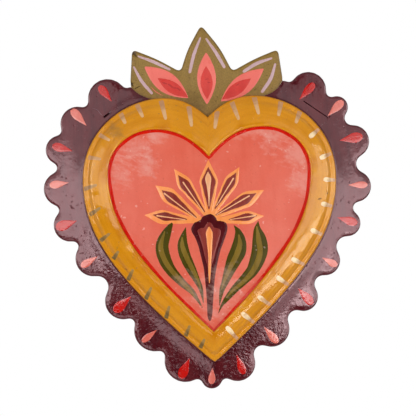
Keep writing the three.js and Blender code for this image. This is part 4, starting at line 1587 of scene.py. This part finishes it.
# Their upright spines: x, top and bottom of each run
CALYX_SPINE = [(-1.0, -4, -40), (-1.6, -40, -56)]
BROWN_SPINE = [(-0.9, -8, -30)]
SPINE_STEP = -0.6
CALYX_DROP = [
    ((-0.9, -10.2), 1.6), ((-0.9, -12.6), 3.5), ((-0.8, -16.1), 3.1), ((-0.9, -24.2), 1.9),
    ((-1.3, -32.0), 1.2), ((-1.5, -37.4), 0.4)]

# Each leaf and the light along it: its middle line with the width there, from its tip to its root
LEAVES = [
    [((-19.1, -6.9), 1.4), ((-22.2, -12.4), 4.6), ((-24.4, -18.1), 6.1), ((-23.6, -24.1), 6.2),
     ((-20.7, -30.2), 5.2), ((-15.3, -36.7), 3.9), ((-9.9, -42.0), 2.6), ((-4.9, -50.4), 0.3)],
    [((-12.4, -9.4), 0.3), ((-13.5, -13.4), 2.8), ((-14.2, -18.3), 5.0), ((-13.1, -23.9), 5.3),
     ((-10.7, -29.5), 4.8), ((-7.9, -35.5), 3.3), ((-5.8, -40.6), 2.1), ((-4.7, -47.8), 0.3)],
    [((11.5, -9.2), 0.3), ((13.4, -12.3), 3.0), ((14.1, -16.7), 5.8), ((13.3, -21.7), 7.4),
     ((11.1, -26.1), 6.9), ((8.6, -31.5), 5.2), ((6.3, -37.0), 3.5), ((4.4, -41.7), 2.3),
     ((3.0, -49.4), 0.3)],
    [((23.6, -7.4), 0.3), ((23.1, -11.4), 3.5), ((23.9, -16.3), 6.5), ((24.0, -21.5), 7.5),
     ((22.6, -26.4), 7.0), ((20.0, -31.7), 5.7), ((15.8, -36.2), 4.6), ((11.2, -40.6), 3.7),
     ((7.1, -45.2), 2.6), ((4.2, -48.9), 1.3), ((2.5, -52.6), 0.3)],
]
LEAF_LIGHTS = [
    [((-23.0, -11.4), 0.6), ((-25.1, -17.9), 1.8), ((-24.4, -22.9), 1.9), ((-21.5, -28.8), 1.8),
     ((-16.3, -35.2), 1.6), ((-11.4, -40.7), 1.2), ((-9.0, -44.1), 0.4)],
    [((-14.4, -14.5), 0.6), ((-14.3, -19.1), 1.7), ((-12.2, -25.0), 1.8), ((-9.5, -30.8), 1.6),
     ((-7.1, -36.3), 1.0), ((-5.8, -40.5), 0.3)],
    [((13.8, -14.1), 0.7), ((14.1, -19.1), 1.9), ((11.9, -24.8), 2.0), ((8.8, -30.5), 1.6),
     ((6.1, -36.3), 1.1), ((4.3, -41.2), 0.3)],
    [((22.8, -10.2), 0.6), ((23.5, -16.1), 1.8), ((24.1, -21.9), 2.0), ((23.0, -26.8), 2.1),
     ((19.9, -32.6), 1.9), ((15.2, -37.4), 1.5), ((10.1, -41.4), 1.1), ((6.7, -45.0), 0.4)],
]
LEAF_SPREAD = 1.08
LIGHT_SPREAD = 1.45

# The crown's almonds, as two ends and a width, and its strokes
CROWN_PINKS = [
    ((0.2, 77.6), (-0.1, 51.2), 9.6), ((-30.9, 71.3), (-9.2, 54.8), 10.4), ((28.9, 68.6), (6.7, 52.6), 9.6)]
CROWN_REDS = [
    ((0.0, 70.8), (0.0, 53.8), 6.3), ((-24.5, 65.3), (-9.5, 55.3), 6.0), ((22.3, 63.8), (7.5, 53.6), 6.0)]
ALMOND_STEPS = 36
ALMOND_FULLNESS = 0.9
PINK_STRAY = [((-27.9, 61.1), 0.3), ((-25.5, 58.6), 0.45), ((-22.0, 56.4), 0.35)]
LILAC_STROKES = [
    [(-33.6, 76.4), (-26.0, 73.4), (-18.3, 69.6)], [(-36.0, 71.1), (-32.5, 64.2), (-27.5, 57.9)],
    [(-2.5, 84.6), (-5.9, 76.5), (-8.2, 67.9)], [(0.5, 84.1), (5.2, 76.9), (9.0, 69.9)],
    [(32.7, 73.5), (25.5, 71.2), (18.8, 67.4)], [(34.5, 70.5), (32.0, 63.3), (27.6, 57.0)],
]
LILAC_WIDTHS = (1.1, 1.8, 1.6)
LILAC_STEPS = 12

# The red line's section: steps in from the panel's wall, or out towards the rim, and heights
RED_LINE_SECTION = [
    (-0.5, 15.2), (-0.45, 16.3), (-0.25, 15.95), (0.1, 15.8),
    (0.6, 15.8), (1.0, 15.82), (1.25, 15.7), (1.15, 15.2),
]
# It slims towards the heart's low tip, between two levels, and its inner edge wavers
LINE_TAPER_LEVELS = (-55.0, -25.0)
LINE_TAPER = (0.7, 1.0)
LINE_WOBBLE = 0.14
LINE_WOBBLE_STEP = 0.31


def tick_painted_shades():
    """Each tick's painted shade: darker and darker lower down the rim."""
    painted_shades = [TICK_SHADE + (TICK_SHADE_LEVEL - z) / TICK_SHADE_FALL for _, z, _, _ in TICKS]
    return list(np.clip(painted_shades, TICK_SHADE_LEAST, 1.0))


def paint_frill(frill, rim):
    """Drops round the frill, ticks round the rim, and what was scuffed and spattered there."""
    dabs("red_drops", "drop", RED_DROPS, frill, "drop_red", "maroon_lacquer", THIN)
    dabs("pink_drops", "drop", PINK_DROPS, frill, "drop_pink", "maroon_lacquer", THIN)
    ticks = [(*row, TOP_TICK_WIDTH if row[1] > TOP_TICK_LEVEL else TICK_WIDTH) for row in TICKS]
    dabs("rim_ticks", "tick", ticks, rim, "tick_silver", "ochre_lacquer", FULL, tick_painted_shades())
    blobs = [(*row, BLOB_TICK_WIDTH) for row in BLOB_TICKS]
    dabs("rim_blob_ticks", "blob", blobs, rim, "tick_silver", "ochre_lacquer", FULL)
    dabs("rim_specks", "speck", RIM_SPECKS, rim, "speck_brown", "ochre_lacquer", THIN)
    paint("frill_scratch", [stroke(FRILL_SCRATCH)], frill, "scratch_grey", "maroon_lacquer")


def lobed(outline, runs):
    """A lobed mark's smooth outline, and its upright spine."""
    spine = [(x, z) for x, top, bottom in runs for z in np.arange(top, bottom, SPINE_STEP)]
    return through(outline, CALYX_STEPS, True), spine


def paint_flower(panel):
    """Seven outlined petals over a three-lobed calyx between four leaves."""
    slot = "pink_lacquer"
    leaves = [stroke(leaf, LEAF_SPREAD) for leaf in LEAVES]
    lights = [stroke(light, LIGHT_SPREAD) for light in LEAF_LIGHTS]
    outlines = [petal(*row, PETAL_ROOT, ROOT_REACH) for row in PETALS]
    insides = [petal(*row, INNER_ROOT, 0.0) for row in PETAL_INNERS]
    veins = [along_line(ends, VEIN_WIDTHS, VEIN_STEPS) for ends in PETAL_VEINS]
    paint("leaves", leaves, panel, "leaf_green", slot)
    paint("leaf_lights", lights, panel, "leaf_light", slot, 1)
    paint("petal_outlines", outlines, panel, "peach_paint", slot)
    paint("petal_insides", insides, panel, "petal_brown", slot, 1)
    paint("petal_veins", veins + [stroke(CENTRE_DROP)], panel, "vein_pale", slot, 2, VEIN_FINENESS)
    paint("calyx", [lobed(CALYX, CALYX_SPINE)], panel, "calyx_dark", slot, 1)
    paint("calyx_inside", [lobed(CALYX_BROWN, BROWN_SPINE)], panel, "petal_brown", slot, 2)
    paint("calyx_drop", [stroke(CALYX_DROP)], panel, "peach_paint", slot, 3)


def paint_crown(crown):
    """A pink almond with a red heart on each leaf, and lilac strokes beside them."""
    slot = "olive_paint"
    pinks = [almond(*row) for row in CROWN_PINKS] + [stroke(PINK_STRAY)]
    paint("crown_almonds", pinks, crown, "crown_pink", slot)
    reds = paint("crown_hearts", [almond(*row) for row in CROWN_REDS], crown, "crown_red", slot, 1)
    dabs("crown_brush_marks", "speck", BRUSH_MARKS, reds, "brush_red", slot, THIN)
    lilacs = [along_line(line, LILAC_WIDTHS, LILAC_STEPS) for line in LILAC_STROKES]
    paint("crown_strokes", lilacs, crown, "lilac_paint", slot)


def paint_red_line(wall):
    """The red line round the panel, which fills the valley against the rim."""
    inner = inward(wall)
    shell = Shell()
    rings = []
    slimness = np.interp(wall[:, 1], LINE_TAPER_LEVELS, LINE_TAPER)
    wobble = LINE_WOBBLE * np.sin(np.arange(len(wall)) * LINE_WOBBLE_STEP)
    for inset, height in RED_LINE_SECTION:
        insets = (inset * slimness if inset > 0 else inset) + wobble * (inset > 1)
        rings.append(shell.add(wall + inner * insets[:, None], height))
    shell.loft(rings + rings[:1])
    piece = mesh_object("red_line", shell.corners, shell.faces, [finishes["line_red"]],
                        sharpness=PAINT_SHARPNESS)
    finished(piece, "pink_lacquer")


# The hanger and the brads


def make_brads():
    """Every brad, with a slightly domed head, set flush in the back."""
    nodes = [node for group in BRAD_NODES.values() for node in group]
    turns = np.random.default_rng(BRAD_SEED).uniform(0, BRAD_MOST_TURN, len(nodes))
    seed = seed_object("brad_points", metres(spot(node) for node in nodes), (), {"turn": turns})
    brad = turned_object("brad", BRAD_SECTION, BRAD_STEPS)
    piece = grown("brads", seed, FASTENERS, Fastener=brad, Finish=finishes["bright_steel"])
    discard(brad)
    finished(piece, "bright_steel", *nodes)


def slot_cutter():
    """A bar that cuts a screw's slot."""
    bm = bmesh.new()
    bmesh.ops.create_cube(bm, size=1.0)
    size = (SCREW_SLOT_LENGTH * MM, 2 * SCREW_SLOT_DEPTH * MM, SCREW_SLOT_WIDTH * MM)
    bmesh.ops.scale(bm, vec=size, verts=bm.verts)
    bmesh.ops.translate(bm, vec=(0, -SCREW_SECTION[0][1] * MM, 0), verts=bm.verts)
    mesh = bpy.data.meshes.new("slot")
    bm.to_mesh(mesh)
    bm.free()
    return linked("slot", mesh)


def slotted_screw():
    """One turned screw with its slot cut."""
    screw = turned_object("screw", SCREW_SECTION, SCREW_STEPS)
    cutter = slot_cutter()
    cut = screw.modifiers.new("slot", "BOOLEAN")
    cut.object = cutter
    cut.operation = "DIFFERENCE"
    cut.solver = "EXACT"
    depsgraph = bpy.context.evaluated_depsgraph_get()
    slotted = bpy.data.meshes.new_from_object(screw.evaluated_get(depsgraph))
    screw.modifiers.clear()
    screw.data = slotted
    discard(cutter)
    return screw


def make_screws():
    """The strap's two slotted screws."""
    screw = slotted_screw()
    seed = seed_object("screw_points", metres((0, z) for z in SCREW_LEVELS), (), {"turn": SCREW_TURNS})
    piece = grown("hanger_screws", seed, FASTENERS, SCREW_SHARPNESS,
                  Fastener=screw, Finish=finishes["bright_steel"])
    discard(screw)
    finished(piece, "bright_steel", "hanger_screw_1", "hanger_screw_2")


def strap_eye():
    """Corners and faces of the eye that the strap is folded into."""
    half, inner = STRAP_HALF_WIDTH, STRAP_HALF_WIDTH - EYE_EASING
    upper, lower = EYE_OUTSIDE - EYE_EASING, EYE_BORE + EYE_EASING
    section = [
        (-inner, EYE_OUTSIDE), (-half, upper), (-half, lower), (-inner, EYE_BORE),
        (inner, EYE_BORE), (half, lower), (half, upper), (inner, EYE_OUTSIDE),
    ]
    corners = []
    for angle in np.linspace(0, FULL_TURN, EYE_STEPS, endpoint=False):
        for x, radius in section:
            height = RING_AXIS_HEIGHT + radius * math.cos(angle)
            corners.append((x, -height, RING_AXIS_Z + radius * math.sin(angle)))
    return corners, grid_faces(EYE_STEPS, len(section), True)


def make_strap():
    """The strap's flat end with its screw holes, and its eye."""
    rounded_end = rounded_box(STRAP_HALF_WIDTH, STRAP_BOTTOM, RING_AXIS_Z, STRAP_ROUND)
    square_end = [(STRAP_HALF_WIDTH, RING_AXIS_Z), (-STRAP_HALF_WIDTH, RING_AXIS_Z)]
    outline = np.vstack([rounded_end[:len(rounded_end) // 2], square_end])
    outline = evenly(anticlockwise(outline), STRAP_STEP)
    easing = np.full(len(outline), STRAP_EASING)
    hole = [(SCREW_HOLE, STRAP_BACK), (SCREW_HOLE, POCKET_DEPTH)]
    bores = [((0.0, z), hole) for z in SCREW_LEVELS]
    strip = board_shell(outline, (easing, easing), (STRAP_BACK, POCKET_DEPTH), bores)
    eye_corners, eye_faces = strap_eye()
    start = len(strip.corners)
    faces = strip.faces + [[start + k for k in face] for face in eye_faces]
    corners = strip.corners + eye_corners
    piece = mesh_object("hanger_strap_folded", corners, faces, [finishes["brassed_steel"]])
    finished(piece, "brassed_steel", "hanger_strap")


def ring_line():
    """The wire's middle line, a D lying almost against the pocket's floor."""
    straight = RING_HALF_WIDTH - RING_CORNER
    arcs = [
        (straight, RING_CORNER, -90, 0, RING_CORNER_STEPS),
        (0.0, RING_HALF_WIDTH, 0, 180, RING_BOW_STEPS),
        (-straight, RING_CORNER, 180, 270, RING_CORNER_STEPS),
    ]
    flat = []
    for x, radius, start, end, count in arcs:
        for angle in np.radians(np.linspace(start, end, count)):
            flat.append((x + radius * math.cos(angle), RING_CORNER + radius * math.sin(angle)))
    points = []
    for x, hang in evenly(np.array(flat), RING_STEP):
        height = RING_AXIS_HEIGHT + hang * math.sin(RING_LEAN)
        points.append((x * MM, -height * MM, (RING_AXIS_Z + hang * math.cos(RING_LEAN)) * MM))
    return points


def make_ring():
    """The wire ring, the one piece that moves."""
    points = ring_line()
    edges = [(i, (i + 1) % len(points)) for i in range(len(points))]
    piece = grown("hanger_ring_wire", seed_object("ring_line", points, edges), WIRE,
                  Radius=RING_WIRE * MM, Sides=RING_SIDES, Finish=finishes["brassed_steel"])
    outwards(piece.data)
    finished(piece, "brassed_steel", "hanger_ring", body="ring")


# Camera, light and floor, in metres

VIEW_CENTRE = Vector((-0.00113, -0.0135, -0.00022))
VIEW_DISTANCE = 1.6
VIEW_WIDTH = 0.2068
VIEW_ROLL = math.radians(1.69)
SENSOR_WIDTH = 36.0
SIGHT = 20.0
LAMP_COLOUR = (1.0, 0.95, 0.94)
EVEN_LIGHT = 0.46
WHITE = (1.0, 1.0, 1.0, 1.0)
CLOTH_LOW = (-0.8, -0.6)
CLOTH_HIGH = (0.8, 0.2)
CLOTH_DEPTH = -0.95
CLOTH_CLOUDS = 30.0
CLOTH_TONES = ((0.02, 0.018, 0.017, 1.0), (0.045, 0.04, 0.038, 1.0))
FLOOR_LEVEL = -0.35
FLOOR_RADIUS = 2.6
FLOOR_SIDES = 96
FLOOR_GLOW = 0.7
FLOOR_CLOUDS = 6.0
FLOOR_TONES = ((0.86, 0.86, 0.85, 1.0), (0.9, 0.9, 0.9, 1.0))
# Lamps that light the paint and aren't mirrored in it: middle, width, height and strength
KEY_LAMPS = {
    "left_key": ((-0.6, -1.5, 0.2), 0.8, 0.8, 3.2),
    "right_key": ((0.6, -1.5, 0.2), 0.8, 0.8, 3.2),
    "back_key": ((0.3, 1.3, 0.7), 0.8, 0.8, 4.0),
}
# Soft boxes that the shiny paint mirrors, seen as a haze, each facing straight back
SOFT_BOXES = {
    "left_box": ((-0.214, -0.9, -0.005), 0.272, 0.1, 8.8),
    "left_low_box": ((-0.195, -0.9, -0.075), 0.15, 0.04, 5.0),
    "left_strip": ((-0.155, -0.895, -0.075), 0.07, 0.025, 10.0),
    "left_upper_box": ((-0.2, -0.9, 0.12), 0.3, 0.15, 3.0),
    "left_far_box": ((-0.56, -0.9, 0.12), 0.4, 0.36, 5.5),
    "right_box": ((0.21, -0.9, -0.045), 0.28, 0.15, 9.0),
    "right_upper_box": ((0.21, -0.9, 0.12), 0.28, 0.18, 2.6),
    "right_far_box": ((0.56, -0.9, 0.03), 0.4, 0.42, 9.0),
    "right_low_box": ((0.085, -0.895, -0.0875), 0.08, 0.065, 8.0),
    "right_foot_box": ((0.175, -0.9, -0.1575), 0.15, 0.075, 4.5),
    "right_low_wall": ((0.45, -0.9, -0.38), 0.46, 0.36, 17.0),
    "low_box": ((-0.125, -0.9, -0.21), 0.15, 0.12, 5.2),
}
# Mirrored boxes at the sides, each facing the middle line at its own level
SIDE_BOXES = {
    "left_wall": ((-0.75, -0.55, 0.05), 0.6, 0.3, 6.0),
    "right_wall": ((0.78, -0.6, -0.08), 0.42, 0.5, 8.0),
    "left_side": ((-0.97, -0.26, 0.0), 0.24, 0.6, 16.0),
    "right_side": ((0.97, -0.26, 0.0), 0.24, 0.6, 16.0),
}


def make_camera():
    """Straight in front, far enough for little perspective, and turned by the photograph's tilt."""
    camera = bpy.data.cameras.new("camera")
    camera.sensor_width = SENSOR_WIDTH
    camera.lens = SENSOR_WIDTH * VIEW_DISTANCE / VIEW_WIDTH
    camera.clip_end = SIGHT
    viewer = linked("camera", camera)
    viewer.location = VIEW_CENTRE - Vector((0, VIEW_DISTANCE, 0))
    viewer.rotation_euler = (QUARTER_TURN, VIEW_ROLL, 0)
    bpy.context.scene.camera = viewer


def soft_box(name, middle, aim, width, height, radiance, mirrored):
    """A flat soft light: either one that shiny paint mirrors, or one that lights it and isn't mirrored."""
    light = bpy.data.lights.new(name, "AREA")
    light.shape = "RECTANGLE"
    light.size = width
    light.size_y = height
    light.color = LAMP_COLOUR
    light.energy = radiance * math.pi * width * height
    lamp = linked(name, light)
    lamp.location = middle
    lamp.rotation_euler = (Vector(aim) - Vector(middle)).to_track_quat("-Z", "Y").to_euler()
    lamp.visible_camera = False
    lamp.visible_glossy = mirrored
    lamp.visible_diffuse = not mirrored


def make_lamps():
    for name, (middle, *size_and_strength) in KEY_LAMPS.items():
        soft_box(name, middle, (0, 0, 0), *size_and_strength, False)
    for name, (middle, *size_and_strength) in SOFT_BOXES.items():
        soft_box(name, middle, (middle[0], 0, middle[2]), *size_and_strength, True)
    for name, (middle, *size_and_strength) in SIDE_BOXES.items():
        soft_box(name, middle, (0, 0, middle[2]), *size_and_strength, True)


def make_cloth():
    """A dark cloth round the camera, which only shiny paint sees, so that it keeps its own colour."""
    material, tree, shader = begin_material("dark_cloth")
    tone = mixed(tree, noise(tree, own_place(tree), CLOTH_CLOUDS), *CLOTH_TONES)
    tree.links.new(tone, shader.inputs["Base Color"])
    shader.inputs["Roughness"].default_value = 1.0
    (left, bottom), (right, top) = CLOTH_LOW, CLOTH_HIGH
    corners = [(x, CLOTH_DEPTH, z) for x, z in ((left, bottom), (right, bottom), (right, top), (left, top))]
    mesh = mesh_of("dark_cloth", corners, (), [(0, 1, 2, 3)])
    mesh.materials.append(material)
    cloth = linked("dark_cloth", mesh)
    cloth.visible_camera = False
    cloth.visible_diffuse = False
    cloth.visible_transmission = False
    cloth.visible_shadow = False


def white_to_lens(tree):
    """One for the rays that see the background: straight, mirrored or through glass."""
    path = place(tree, "ShaderNodeLightPath").outputs
    seen = maths(tree, "ADD", path["Is Camera Ray"], path["Is Glossy Ray"])
    return maths(tree, "ADD", seen, path["Is Transmission Ray"], use_clamp=True)


def make_world():
    """White where it is seen, and an even pale light on everything."""
    world = bpy.data.worlds.new("studio")
    world.use_nodes = True
    tree = world.node_tree
    tree.nodes.clear()
    even = flow(tree, "ShaderNodeBackground", {"Color": WHITE, "Strength": EVEN_LIGHT})
    white = flow(tree, "ShaderNodeBackground", {"Color": WHITE, "Strength": 1.0})
    both = flow(tree, "ShaderNodeMixShader", {0: white_to_lens(tree), 1: even, 2: white})
    place(tree, "ShaderNodeOutputWorld", {"Surface": both})
    bpy.context.scene.world = world


def make_floor():
    """A pale floor well below the object, which keeps its shadow."""
    material, tree, shader = begin_material("pale_floor")
    tone = mixed(tree, noise(tree, own_place(tree), FLOOR_CLOUDS), *FLOOR_TONES)
    tree.links.new(tone, shader.inputs["Base Color"])
    shader.inputs["Roughness"].default_value = 0.9
    glow = flow(tree, "ShaderNodeEmission", {"Color": WHITE, "Strength": 1.0})
    share = maths(tree, "MULTIPLY", white_to_lens(tree), FLOOR_GLOW)
    both = flow(tree, "ShaderNodeMixShader", {0: share, 1: shader.outputs[0], 2: glow})
    output = next(n for n in tree.nodes if n.type == "OUTPUT_MATERIAL")
    tree.links.new(both, output.inputs["Surface"])
    corners = [(x, y, FLOOR_LEVEL) for x, y in ring_of((0, 0), FLOOR_RADIUS, FLOOR_SIDES)]
    mesh = mesh_of("floor", corners, (), [range(len(corners))])
    mesh.materials.append(material)
    linked("floor", mesh)


def make_stage():
    bpy.context.scene.view_settings.view_transform = "Standard"
    make_camera()
    make_lamps()
    make_cloth()
    make_world()
    make_floor()


rim_line = blunted(heart_rail(chain_at("heart_rim", RIM_OUTER_TOP)))
crest_line = heart_rail(chain_at("heart_rim", RIM_INNER_TOP))
panel_line = heart_rail(chain_at("heart_panel", PANEL_WALL_TOP))
crown_line = crown_outline()
frill_line = frill_run()
seam = seam_numbers(crown_line, frill_line)
crown_line[seam] = softened(crown_line[seam], OUTLINE_STEP, SEAM_SOFTNESS, closed=False)

frill_piece = make_frill(crown_line, seam, frill_line, rim_line)
crown_piece = make_crown(crown_line, seam, rim_line)
rim_piece = make_rim(rim_line, crest_line)
make_bead(rim_line)
panel_piece = make_panel(panel_line)
paint_frill(frill_piece, rim_piece)
paint_red_line(panel_line)
paint_flower(panel_piece)
paint_crown(crown_piece)
make_brads()
make_screws()
make_strap()
make_ring()
make_stage()
